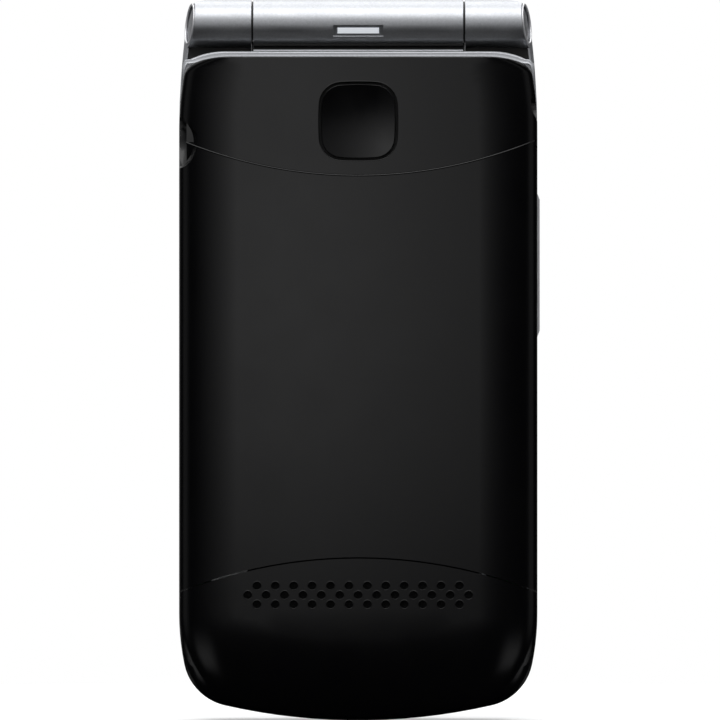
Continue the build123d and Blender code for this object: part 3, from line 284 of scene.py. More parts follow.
@dataclass(frozen=True)
class BrushedSheet(Finish):
    """Rolled or turned metal: fine lines across one axis, drawn 0.08 to 0.15 mm apart."""

    mottle_detail: float = 3.0
    mottle_span: Pair = (0.35, 0.65)
    line_mm: float = 0.15
    squeeze: Point = (1.0, 0.04, 0.04)

    def pattern(self, shader: Node) -> None:
        """Draws the lines as a noise that is drawn out along them.

        Args:
            shader: the material's principled shader.
        """
        tree = shader.id_data
        place = add_node(tree, "ShaderNodeTexCoord").outputs["Object"]
        inputs = {"Vector": place, "Scale": self.squeeze}
        drawn = add_node(tree, "ShaderNodeMapping", inputs=inputs).outputs["Vector"]
        inputs = {"Vector": drawn, "Scale": waves_per_metre(self.line_mm), "Detail": self.mottle_detail}
        lines = add_node(tree, "ShaderNodeTexNoise", inputs=inputs).outputs["Fac"]
        self.paint(shader, lines, self.tinted(1 - self.mottle), self.tinted(1.0))
        self.gloss(shader, lines, self.worn())
        self.relief(shader, lines, self.grain_depth_mm)


@dataclass(frozen=True)
class SolderMask(Finish):
    """Green solder mask over copper: tracks about 0.5 mm apart, paler where copper lies under it."""

    edge_mm: float = 0.0
    track: str = "0f5a2c"
    track_pitch_mm: float = 0.504
    field_mm: float = 3.6
    field_shift: float = 0.7
    track_edge: Pair = (0.03, 0.04)
    track_rise_mm: float = 0.02

    def pattern(self, shader: Node) -> None:
        """Draws the tracks as square lines, one inside another, in each field of the board.

        Args:
            shader: the material's principled shader.
        """
        tree = shader.id_data
        place = add_node(tree, "ShaderNodeTexCoord").outputs["Object"]
        cells = add_node(
            tree,
            "ShaderNodeTexVoronoi",
            {"distance": "CHEBYCHEV", "feature": "F1"},
            {"Vector": place, "Scale": waves_per_metre(self.field_mm), "Randomness": self.field_shift},
        ).outputs["Distance"]
        bands = folded(tree, "PINGPONG", cells, self.track_pitch_mm / self.field_mm / 2)
        inputs = {"Value": bands, "From Min": self.track_edge[0], "From Max": self.track_edge[1]}
        copper = add_node(tree, "ShaderNodeMapRange", {"clamp": True}, inputs).outputs["Result"]
        self.paint(shader, copper, linear(self.colour), linear(self.track))
        self.relief(shader, copper, self.track_rise_mm)


@dataclass(frozen=True)
class WovenCloth(Finish):
    """Dust mesh: a plain weave of fine threads, drawn 0.5 mm apart to show."""

    edge_mm: float = 0.0
    thread_mm: float = 0.5
    thread_rise_mm: float = 0.05
    # Painted highlight: how much paler the crown of each thread is painted.
    thread_shine: float = 3.0

    def pattern(self, shader: Node) -> None:
        """Crosses two sets of threads; the wave texture has 20 / 2 pi bands at a scale of 1.

        Args:
            shader: the material's principled shader.
        """
        tree = shader.id_data
        place = add_node(tree, "ShaderNodeTexCoord").outputs["Object"]
        inputs = {"Vector": place, "Scale": waves_per_metre(self.thread_mm) * 2 * pi / 20}
        threads = [
            add_node(tree, "ShaderNodeTexWave", {"bands_direction": way}, inputs).outputs["Fac"]
            for way in ("X", "Z")
        ]
        weave = folded(tree, "MULTIPLY", *threads)
        # Painted highlight: paler colour where the threads cross, as if their crowns caught the light.
        self.paint(shader, weave, self.tinted(1.0), self.tinted(self.thread_shine))
        self.relief(shader, weave, self.thread_rise_mm)


@dataclass(frozen=True)
class OpalDiffuser(Finish):
    """Milky acrylic in front of the light bar's LEDs, which it hides and spreads; its glow is painted, an
    emission that makes it look lit though no lamp shines behind it.
    """

    # Painted glow: the strength of an emission that makes the diffuser look lit from behind.
    glow: float = 0.43

    def pattern(self, shader: Node) -> None:
        """Adds a painted glow, an emission in the diffuser's own colour, to the usual mottle and grain.

        Args:
            shader: the material's principled shader.
        """
        super().pattern(shader)
        # Painted glow: emission in the diffuser's own colour, with no lamp behind it.
        shader.inputs["Emission Color"].default_value = linear(self.colour)
        shader.inputs["Emission Strength"].default_value = self.glow


@dataclass(frozen=True)
class ClearPlastic(Finish):
    """Hard-coated clear acrylic: it lets what is behind it show, and mirrors the room softly."""

    mottle_detail: float = 6.0
    mottle_span: Pair = (0.45, 0.75)
    transmission: float = 1.0

    def pattern(self, shader: Node) -> None:
        """Sets the clearness, and a faint haze of handling in the gloss.

        Args:
            shader: the material's principled shader.
        """
        tree = shader.id_data
        shader.inputs["Transmission Weight"].default_value = self.transmission
        place = add_node(tree, "ShaderNodeTexCoord").outputs["Object"]
        scale = waves_per_metre(self.mottle_mm)
        inputs = {"Vector": place, "Scale": scale, "Detail": self.mottle_detail}
        haze = add_node(tree, "ShaderNodeTexNoise", inputs=inputs).outputs["Fac"]
        self.gloss(shader, haze, (self.roughness, self.roughness + self.wear))


class Slot(Enum):
    """The record's material slots."""

    BLACK_GLOSS = "black_gloss"
    BUTTON_SATIN = "button_satin"
    SILVER_PAINT = "silver_paint"
    BEZEL_BLACK = "bezel_black"
    KEY_BLACK = "key_black"
    SILICONE = "silicone"
    SPRING_STEEL = "spring_steel"
    BOARD_GREEN = "board_green"
    TIN_PLATE = "tin_plate"
    SCREW_STEEL = "screw_steel"
    CONTACT_GOLD = "contact_gold"
    BATTERY_WRAP = "battery_wrap"
    MOULDED_BLACK = "moulded_black"
    MESH_CLOTH = "mesh_cloth"
    CLEAR_LENS = "clear_lens"
    LIGHT_DIFFUSER = "light_diffuser"
    DISPLAY_PANEL = "display_panel"
    FLEX_FILM = "flex_film"


# Polished polycarbonate, moulded: near black, sharp reflections, a trace of orange peel.
POLISHED_SHELL = Finish(
    "polished_black_polycarbonate", "040405", 0.2, ior=1.45, mottle_mm=9.0, wear=0.02,
    grain_mm=1.1, grain_depth_mm=0.0006, edge_mm=0.0,
)
# The same plastic with a spark-eroded satin face: its reflections are a shade softer.
SATIN_BUTTON = Finish(
    "satin_black_polycarbonate", "040405", 0.21, ior=1.5, mottle_mm=4.0, grain_mm=0.12,
    grain_depth_mm=0.0012, edge_mm=0.0,
)
# Sprayed silver lacquer with aluminium flakes: soft metal highlights with a fine sparkle.
SILVER_LACQUER = FlakeLacquer(
    "silver_flake_lacquer", "b6b8bc", 0.42, metallic=0.96, mottle=0.06, mottle_mm=5.0,
    grain_depth_mm=0.003, edge_mm=0.12,
)
# A lighter copy of the same lacquer, with less metal and a little more gloss: its lighter colour is a
# painted highlight, so that the rocker and the end rings show brighter than the frame's silver.
HIGHLIGHT_LACQUER = FlakeLacquer(
    "highlight_silver_lacquer", "e4e4e6", 0.38, metallic=0.7, mottle=0.04, mottle_mm=5.0,
    grain_depth_mm=0.002, edge_mm=0.08,
)
# Semi-gloss black lacquer on the keypad and display surrounds: smooth, with blurred reflections.
BEZEL_LACQUER = Finish("black_panel_lacquer", "08090a", 0.24, mottle_mm=6.0, grain_depth_mm=0.001)
# Moulded and painted keycaps: dark grey, with a fine satin grain.
KEY_PLASTIC = Finish(
    "painted_keycap_polycarbonate", "111214", 0.38, mottle_mm=1.5, grain_mm=0.12,
    grain_depth_mm=0.0015,
)
# Moulded silicone rubber: matt, slightly milky grey, takes a dusty look.
SILICONE = Finish("moulded_silicone", "7c7f82", 0.72, ior=1.42, mottle=0.12, grain_mm=0.2)
# Stamped spring steel: bright, with fine rolling lines.
SPRING_STEEL = BrushedSheet("stamped_spring_steel", "b9babd", 0.25, metallic=1.0, line_mm=0.1)
# Printed solder mask: semi-gloss green, with raised paler tracks.
SOLDER_MASK = SolderMask("solder_mask_on_copper", "08391c", 0.33)
# Rolled tin plate: dull bright metal, streaked along the roll.
TIN_PLATE = BrushedSheet("rolled_tin_plate", "c0c1c2", 0.3, metallic=1.0, mottle=0.15)
# Turned and zinc-plated steel: darker metal, with rings from the lathe.
ZINC_SCREW = BrushedSheet(
    "zinc_plated_steel", "85878a", 0.32, metallic=1.0, mottle=0.2, squeeze=(0.05, 1.0, 0.05)
)
# Gold plate on stamped bronze: warm, bright, with fine lines.
GOLD_CONTACT = BrushedSheet("gold_plated_bronze", "d9a441", 0.22, metallic=1.0, line_mm=0.08)
# Shrunk plastic film on the battery: dark, with long soft ripples.
BATTERY_FILM = Finish("battery_shrink_film", "26292e", 0.4, mottle_mm=12.0, grain_mm=0.5)
# Moulded nylon with glass fibre: black and matt, slightly blotched by the fibres.
GLASS_FILLED = Finish("glass_filled_nylon", "0b0b0c", 0.55, mottle=0.2, grain_mm=0.15)
# Woven polyester dust mesh: black cloth with a painted highlight on the crown of each thread.
DUST_MESH = WovenCloth("woven_dust_mesh", "0a0a0b", 0.8)
# Cast and hard-coated acrylic: clear, with a faint haze in its mirror-like gloss.
CLEAR_ACRYLIC = ClearPlastic(
    "hard_coated_acrylic", "f2f5f7", 0.01, ior=1.42, wear=0.02, grain_depth_mm=0.0001, edge_mm=0.0
)
# Moulded opal acrylic with an even milky glow, painted as emission: no lamp lights it from behind.
OPAL_ACRYLIC = OpalDiffuser("opal_acrylic_painted_glow", "dfe3e8", 0.35, ior=1.49, mottle=0.03, mottle_mm=2.0)
# Display glass with its light off: near black, with a fine mottle and soft reflections.
DISPLAY_GLASS = Finish(
    "unlit_display_glass", "07090c", 0.16, ior=1.25, mottle_mm=0.25, mottle=0.3, wear=0.01,
    grain_depth_mm=0.0002,
)
# Laminated polyimide film with copper in it: amber and glossy.
POLYIMIDE = Finish("polyimide_ribbon", "a8641d", 0.3, ior=1.7, mottle=0.1, grain_mm=0.4)
# Pad-printed ink on the keys: a thin matt film with a slightly broken surface.
WHITE_INK = Finish("white_pad_print", "dfe1e2", 0.55, mottle=0.05, mottle_mm=0.6, grain_mm=0.1)
GREEN_INK = Finish("green_pad_print", "2fae4e", 0.55, mottle=0.06, mottle_mm=0.6, grain_mm=0.1)
RED_INK = Finish("red_pad_print", "d2342c", 0.55, mottle=0.06, mottle_mm=0.6, grain_mm=0.1)
GREY_INK = Finish("grey_pad_print", "3c3f43", 0.5, mottle=0.06, mottle_mm=0.6, grain_mm=0.1)
# Purple-green antireflection coating on a small glass lens: nearly black, with a tinted glint.
COATED_GLASS = Finish(
    "coated_lens_glass", "0b0a14", 0.04, ior=1.6, coat=1.0, coat_roughness=0.02, mottle_mm=2.0,
    wear=0.01, grain_depth_mm=0.0001,
)


FINISHES: Dict[Slot, Finish] = {
    Slot.BLACK_GLOSS: POLISHED_SHELL,
    Slot.BUTTON_SATIN: SATIN_BUTTON,
    Slot.SILVER_PAINT: SILVER_LACQUER,
    Slot.BEZEL_BLACK: BEZEL_LACQUER,
    Slot.KEY_BLACK: KEY_PLASTIC,
    Slot.SILICONE: SILICONE,
    Slot.SPRING_STEEL: SPRING_STEEL,
    Slot.BOARD_GREEN: SOLDER_MASK,
    Slot.TIN_PLATE: TIN_PLATE,
    Slot.SCREW_STEEL: ZINC_SCREW,
    Slot.CONTACT_GOLD: GOLD_CONTACT,
    Slot.BATTERY_WRAP: BATTERY_FILM,
    Slot.MOULDED_BLACK: GLASS_FILLED,
    Slot.MESH_CLOTH: DUST_MESH,
    Slot.CLEAR_LENS: CLEAR_ACRYLIC,
    Slot.LIGHT_DIFFUSER: OPAL_ACRYLIC,
    Slot.DISPLAY_PANEL: DISPLAY_GLASS,
    Slot.FLEX_FILM: POLYIMIDE,
}

# The rocker wears the lighter copy of the lacquer: a painted highlight.
NODE_FINISHES: Dict[str, Finish] = {"volume_rocker": HIGHLIGHT_LACQUER}


# -------------------------------------------------------------------------------- mesh tools


def arc_points(centre: Pair, radius: float, start: float, end: float, steps: int) -> List[Pair]:
    """Points along an arc.

    Args:
        centre: the arc's centre.
        radius: its radius.
        start: its first angle, in radians.
        end: its last angle, in radians.
        steps: how many stretches it is divided into.

    Returns:
        The points, first and last included.
    """
    angles = [start + (end - start) * i / steps for i in range(steps + 1)]
    return [(centre[0] + radius * cos(a), centre[1] + radius * sin(a)) for a in angles]


def circle_points(radius: float, steps: int) -> List[Pair]:
    """Points round a circle about the origin, each of them once."""
    return arc_points((0.0, 0.0), radius, 0.0, 2 * pi, steps)[:-1]


def join_rings(bm: Drawing, rings: Sequence[Ring], closed: bool) -> None:
    """Fills the bands between rings of equal count.

    Args:
        bm: the mesh.
        rings: the rings, in order.
        closed: whether the last ring joins the first.
    """
    pairs = list(zip(rings, rings[1:]))
    if closed:
        pairs.append((rings[-1], rings[0]))
    for low, high in pairs:
        for i in range(len(low)):
            j = (i + 1) % len(low)
            bm.faces.new((low[i], low[j], high[j], high[i]))


def add_bar(bm: Drawing, sections: Sequence[Sequence[Sequence[float]]]) -> None:
    """Builds a closed solid through a row of sections.

    Args:
        bm: the mesh that gets the solid.
        sections: the points of each section, all of equal count.
    """
    rings = [[bm.verts.new(point) for point in section] for section in sections]
    join_rings(bm, rings, False)
    bm.faces.new(rings[0])
    bm.faces.new(rings[-1][::-1])


def add_prism(bm: Drawing, outline: Sequence[Pair], y_low: float, y_high: float) -> None:
    """Raises a flat outline, drawn across the phone, between two depths."""
    add_bar(bm, [[(x, y, z) for x, z in outline] for y in (y_low, y_high)])


def turned(bm: Drawing, profile: Sequence[Pair], place: Matrix, steps: int) -> List[Ring]:
    """Draws the rings that the corners of a profile leave as they turn round an axis.

    Args:
        bm: the mesh that gets the rings.
        profile: radius and height of each corner.
        place: where the axis stands, its third column being the axis.
        steps: how many points go round.

    Returns:
        One ring for each corner.
    """
    return [
        [bm.verts.new(place @ Vector((x, y, height))) for x, y in circle_points(radius, steps)]
        for radius, height in profile
    ]


def add_tube(bm: Drawing, profile: Sequence[Pair], place: Matrix, steps: int) -> None:
    """Turns a closed profile that stays clear of its axis, as turned() takes it."""
    join_rings(bm, turned(bm, profile, place, steps), True)


def add_lathe(bm: Drawing, profile: Sequence[Pair], place: Matrix, steps: int) -> None:
    """Turns a profile that starts and ends on its axis, as turned() takes it.

    Args:
        bm: the mesh that gets the solid.
        profile: radius and height of each corner, the first and last with no radius.
        place: where the axis stands, its third column being the axis.
        steps: how many faces go round.
    """
    rings = turned(bm, profile[1:-1], place, steps)
    join_rings(bm, rings, False)
    for ring, pole in ((rings[0], profile[0]), (rings[-1], profile[-1])):
        tip = bm.verts.new(place @ Vector((0.0, 0.0, pole[1])))
        for i in range(steps):
            bm.faces.new((ring[i], ring[(i + 1) % steps], tip))


def add_bead(
    bm: Drawing,
    path: Sequence[Vector],
    outwards: Sequence[Vector],
    radius: float,
    sides: int,
    closed: bool,
) -> None:
    """Lays a round bead along a path.

    Args:
        bm: the mesh that gets the bead.
        path: the points of its middle line.
        outwards: the way that the surface faces at each point.
        radius: the bead's radius.
        sides: how many faces go round it.
        closed: whether it runs back to its start.
    """
    rings = []
    count = len(path)
    for i, (point, out) in enumerate(zip(path, outwards)):
        before = path[i - 1] if i > 0 or closed else path[i]
        after = path[(i + 1) % count] if i + 1 < count or closed else path[i]
        along = (after - before).normalized()
        across = along.cross(out).normalized()
        up = across.cross(along)
        rings.append([bm.verts.new(point + u * up + a * across) for u, a in circle_points(radius, sides)])
    join_rings(bm, rings, closed)
    if not closed:
        bm.faces.new(rings[0])
        bm.faces.new(rings[-1][::-1])


def add_slab(bm: Drawing, under: Sequence[Sequence[Vector]], over: Sequence[Sequence[Vector]]) -> None:
    """Closes two grids of points, one above the other, into a thin slab.

    Args:
        bm: the mesh that gets the slab.
        under: the lower grid, row by row.
        over: the upper grid, row by row.
    """
    rims = []
    for grid in (under, over):
        rows = [[bm.verts.new(place) for place in row] for row in grid]
        for above, below in zip(rows, rows[1:]):
            for j in range(len(above) - 1):
                bm.faces.new((above[j], above[j + 1], below[j + 1], below[j]))
        right = [row[-1] for row in rows[1:-1]]
        left = [row[0] for row in rows[-2:0:-1]]
        rims.append(rows[0] + right + rows[-1][::-1] + left)
    join_rings(bm, rims, False)


def stand_at(x: float, y: float, z: float) -> Matrix:
    """Stands an axis at a place, pointing from the back of the phone to its lid."""
    return Matrix.Translation((x, y, z)) @ Matrix.Rotation(-pi / 2, 4, "X")


@dataclass(frozen=True)
class Cushion:
    """A square with bowed sides and rounded corners."""

    half: float
    bulge: float
    corner: float
    centre: Pair = (0.0, 88.0)
    side_steps: int = 10
    corner_steps: int = 6

    def outline(self, inset: float = 0.0) -> List[Pair]:
        """The outline, drawn smaller all round by the inset.

        Args:
            inset: how far in from the full outline, in millimetres.

        Returns:
            Its points as width and height pairs, anticlockwise.
        """
        short = self.half - self.bulge
        bow = (short**2 + self.bulge**2) / (2 * self.bulge)
        behind = bow - self.half
        inner = bow - self.corner
        meet = (sqrt(2 * inner**2 - behind**2) - behind) / 2
        half_angle = atan2(meet, meet + behind)
        left, right = pi / 2 + half_angle, pi / 2 - half_angle
        side = arc_points((0.0, -behind), bow - inset, right, left, self.side_steps)
        corner = arc_points((-meet, meet), self.corner - inset, left, pi - half_angle, self.corner_steps)
        points: List[Pair] = []
        for quarter in range(4):
            turn = Matrix.Rotation(quarter * pi / 2, 2)
            for point in side[:-1] + corner[:-1]:
                spun = turn @ Vector(point)
                points.append((self.centre[0] + spun.x, self.centre[1] + spun.y))
        return points


@dataclass(frozen=True)
class PillowSkin:
    """The outer skin of a pillowed moulding, and the way it faces at any place.

    A roll is the width over which the skin falls away from its flat: at the sides, at the foot and
    at the top. The polish leaves rolls of its own, and no slope at all at the top.
    """

    half_width: float = 26.325
    top: float = 97.53
    arch_radius: float = 88.25
    low_lead: Pair = (36.8, 15.75)
    side_lead: Pair = (45.8, 10.7)
    top_lead: Pair = (14.5, 7.3)
    rolls: Point = (8.6, 12.0, 5.0)
    polished_rolls: Point = (8.6, 13.5, 1.2)
    edge_y: float = -5.25
    face_y: float = -9.25
    crown: Pair = (0.07, 0.06)
    power: float = 3.0
    steepest: float = 0.997
    near: Pair = (0.7, 0.86)
    near_corner: Pair = (2.6, 0.3)
    blend: Pair = (0.01, 0.12)

    @staticmethod
    def lead(sizes: Pair, past: float) -> float:
        """How far an outline has bent in, the given distance past the start of its lead."""
        radius = sizes[0]
        return radius - sqrt(max(0.0, radius**2 - past**2)) if past > 0 else 0.0

    def gaps(self, x: float, z: float) -> Point:
        """How far a place is from the outline at the side, at the foot and at the top.

        Args:
            x: width, in millimetres.
            z: height, in millimetres.

        Returns:
            The three distances, in millimetres.
        """
        bent = self.lead(self.low_lead, self.low_lead[1] - z)
        bent += self.lead(self.side_lead, z - self.top + self.side_lead[1])
        arch = self.arch_radius - sqrt(max(0.0, self.arch_radius**2 - x**2))
        return (self.half_width - bent - abs(x), z - arch, self.top_edge(x) - z)

    def top_edge(self, x: float) -> float:
        """The height of the outline's top at a place across the phone."""
        return self.top - self.lead(self.top_lead, abs(x) - self.half_width + self.top_lead[1])

    def reach(self, x: float, z: float, polished: bool = False) -> float:
        """How far through the roll a place is: 0 on the flat, 1 at the outline.

        Args:
            x: width, in millimetres.
            z: height, in millimetres.
            polished: whether the rolls are those that the polish leaves, narrower at the top.

        Returns:
            The share of the roll.
        """
        rolls = self.polished_rolls if polished else self.rolls
        shares = [max(0.0, 1 - gap / roll) for gap, roll in zip(self.gaps(x, z), rolls)]
        return sum(share**self.power for share in shares) ** (1 / self.power)

    def depth(self, x: float, z: float) -> float:
        """The depth of the skin at a place."""
        share = min(1.0, self.reach(x, z))
        return self.edge_y + (self.face_y - self.edge_y) * sqrt(1 - share**2)

    def facing(self, x: float, z: float, polished: bool = True) -> Vector:
        """The way the skin faces at a place, gently crowned over its whole width and height.

        Args:
            x: width, in millimetres.
            z: height, in millimetres.
            polished: whether it faces as the polish leaves it, flat at the top.

        Returns:
            The unit normal.
        """
        step = 0.05
        share = min(self.steepest, self.reach(x, z, polished))
        slope = abs(self.face_y - self.edge_y) * share / sqrt(1 - share**2)
        across = (self.reach(x + step, z, polished) - self.reach(x - step, z, polished)) / (2 * step) * slope
        up = (self.reach(x, z + step, polished) - self.reach(x, z - step, polished)) / (2 * step) * slope
        if polished:
            up = min(0.0, up)
        across += self.crown[0] * x / self.half_width
        up += self.crown[1] * (2 * z / self.top - 1)
        towards = 1.0 if self.face_y > self.edge_y else -1.0
        return Vector((across, towards, up)).normalized()

    def at(self, x: float, z: float, above: float = 0.0) -> Vector:
        """The point on the skin at a place, or the given distance above it."""
        return Vector((x, self.depth(x, z), z)) + above * self.facing(x, z)

    def holds(self, place: Vector, normal: Vector) -> bool:
        """Whether a face belongs to the skin: near it, and facing its way.

        Args:
            place: the face's middle, in millimetres.
            normal: the way it faces.

        Returns:
            True where it does. The upper corners are judged more loosely, as their roll is steep.
        """
        farthest, least = self.near_corner if place.z > self.top - self.side_lead[1] else self.near
        off = abs(place.y - self.depth(place.x, place.z))
        return off <= farthest and normal.dot(self.facing(place.x, place.z, False)) >= least

    def swept(self, place: Vector, bare: Vector) -> Vector:
        """The polished normal at a place, which goes over to the bare one along the outline.

        Args:
            place: a corner of a face, in millimetres.
            bare: the normal that the mesh has there.

        Returns:
            The unit normal.
        """
        start, end = self.blend
        keep = min(1.0, max(0.0, (end - min(self.gaps(place.x, place.z))) / (end - start)))
        return self.facing(place.x, place.z).lerp(bare, keep).normalized()


class RepeatTree:
    """A geometry node tree with named sizes, whose result is made a plain mesh."""

    def __init__(self, name: str, sizes: Dict[str, float]) -> None:
        """Starts the tree.

        Args:
            name: the tree's name.
            sizes: the named sizes and their values, in millimetres.
        """
        self.name = name
        self.tree = bpy.data.node_groups.new(name, "GeometryNodeTree")
        self.tree.interface.new_socket("Geometry", in_out="OUTPUT", socket_type="NodeSocketGeometry")
        self.values: Dict[str, float] = {}
        for size, value in sizes.items():
            socket = self.tree.interface.new_socket(size, in_out="INPUT", socket_type="NodeSocketFloat")
            self.values[socket.identifier] = value * MM
        self.sizes = self.tree.nodes.new("NodeGroupInput").outputs

    def add(
        self,
        kind: str,
        settings: Optional[Dict[str, object]] = None,
        inputs: Optional[Dict[object, object]] = None,
    ) -> Socket:
        """Adds one node to this tree, as add_node() does, and gives its first output."""
        return add_node(self.tree, kind, settings, inputs).outputs[0]

    def bake(self, geometry: Socket, material: bpy.types.Material, angle: float) -> Mesh:
        """Ends the tree, runs it once and keeps its result.

        Args:
            geometry: the tree's last geometry.
            material: what its faces are made of.
            angle: the edge angle, in degrees, above which an edge stays sharp.

        Returns:
            A plain mesh, in metres.
        """
        real = self.add("GeometryNodeRealizeInstances", inputs={"Geometry": geometry})
        dressed = self.add("GeometryNodeSetMaterial", inputs={"Geometry": real, "Material": material})
        add_node(self.tree, "NodeGroupOutput", inputs={0: dressed})
        holder = bpy.data.objects.new(f"{self.name}_holder", bpy.data.meshes.new(f"{self.name}_seed"))
        bpy.context.scene.collection.objects.link(holder)
        modifier = holder.modifiers.new(self.name, "NODES")
        modifier.node_group = self.tree
        for identifier, value in self.values.items():
            modifier[identifier] = value
        graph = bpy.context.evaluated_depsgraph_get()
        mesh = bpy.data.meshes.new_from_object(holder.evaluated_get(graph), depsgraph=graph)
        bpy.data.objects.remove(holder)
        mesh.shade_smooth()
        mesh.set_sharp_from_angle(angle=radians(angle))
        return mesh


class Workshop:
    """Holds the finishes, and fits finished pieces to the phone."""

    def __init__(self) -> None:
        """Makes the slots' materials and puts them on every node of the frame."""
        self.made: Dict[str, bpy.types.Material] = {}
        self.slots = {entry["node"]: Slot(entry["material_slot"]) for entry in frame["record"]["subparts"]}
        for name, node in sorted(frame["nodes"].items()):
            for index in range(len(node.material_slots)):
                node.material_slots[index].material = self.material(self.finish(name))
            LOG.info("%s dressed in %s", name, self.finish(name).name)

    def finish(self, node: str) -> Finish:
        """The finish of a node: its own where it has one, and its slot's otherwise."""
        return NODE_FINISHES.get(node, FINISHES[self.slots[node]])

    def material(self, finish: Finish) -> bpy.types.Material:
        """The material of a finish, made once.

        Args:
            finish: the finish.

        Returns:
            The material.
        """
        if finish.name not in self.made:
            self.made[finish.name] = finish.make()
        return self.made[finish.name]

    def mesh(self, name: str, bm: Drawing, angle: float) -> Mesh:
        """Closes a mesh drawn in millimetres, turns its faces outwards and smooths it.

        Args:
            name: the mesh's name.
            bm: the drawing; it is used up.
            angle: the edge angle, in degrees, above which an edge stays sharp.

        Returns:
            The mesh, in metres.
        """
        bmesh.ops.recalc_face_normals(bm, faces=bm.faces)
        bm.transform(Matrix.Scale(MM, 4))
        mesh = bpy.data.meshes.new(name)
        bm.to_mesh(mesh)
        bm.free()
        mesh.shade_smooth()
        mesh.set_sharp_from_angle(angle=radians(angle))
        return mesh

    def fit(
        self, name: str, mesh: Mesh, finish: Finish, body: str, replaced: Sequence[str] = ()
    ) -> None:
        """Makes a piece of a mesh and lets it ride on a body.

        Args:
            name: the piece's name.
            mesh: its mesh, in metres.
            finish: what it is made of.
            body: the body that carries it.
            replaced: nodes that it stands for.
        """
        mesh.materials.clear()
        mesh.materials.append(self.material(finish))
        piece = bpy.data.objects.new(name, mesh)
        bpy.context.scene.collection.objects.link(piece)
        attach(piece, body)
        if replaced:
            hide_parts(*replaced)
        LOG.info("%s made: %d faces, on %s", name, len(mesh.polygons), body)

    def add(
        self, name: str, bm: Drawing, finish: Finish, slot: Slot, body: str, angle: float = 30.0
    ) -> None:
        """Closes a drawing as mesh() does, and fits it as fit() does, with no node replaced."""
        self.fit(name, self.mesh(name, bm, angle), finish, body)

    def smooth_copy(
        self, node: str, skin: PillowSkin, angle: float = 28.0, merged: float = 0.002
    ) -> Mesh:
        """Copies a pillowed node's mesh and shades its outer skin as one smooth sweep.

        Args:
            node: the node to copy.
            skin: the skin's form.
            angle: the edge angle above which an edge off the skin stays sharp.
            merged: the distance, in millimetres, within which two points are made one.

        Returns:
            The copy, in metres.
        """
        bm = bmesh.new()
        bm.from_mesh(frame["nodes"][node].data)
        bmesh.ops.remove_doubles(bm, verts=bm.verts, dist=merged * MM)
        mesh = bpy.data.meshes.new(f"{node}_skin")
        bm.to_mesh(mesh)
        bm.free()
        mesh.shade_smooth()
        mesh.set_sharp_from_angle(angle=radians(angle))
        corners = [Vector(corner.vector) for corner in mesh.corner_normals]
        for face in mesh.polygons:
            if not skin.holds(face.center / MM, face.normal):
                continue
            for index in face.loop_indices:
                place = mesh.vertices[mesh.loops[index].vertex_index].co / MM
                corners[index] = skin.swept(place, corners[index])
        mesh.normals_split_custom_set([tuple(corner) for corner in corners])
        return mesh


# ------------------------------------------------------------------------------ sub-assemblies


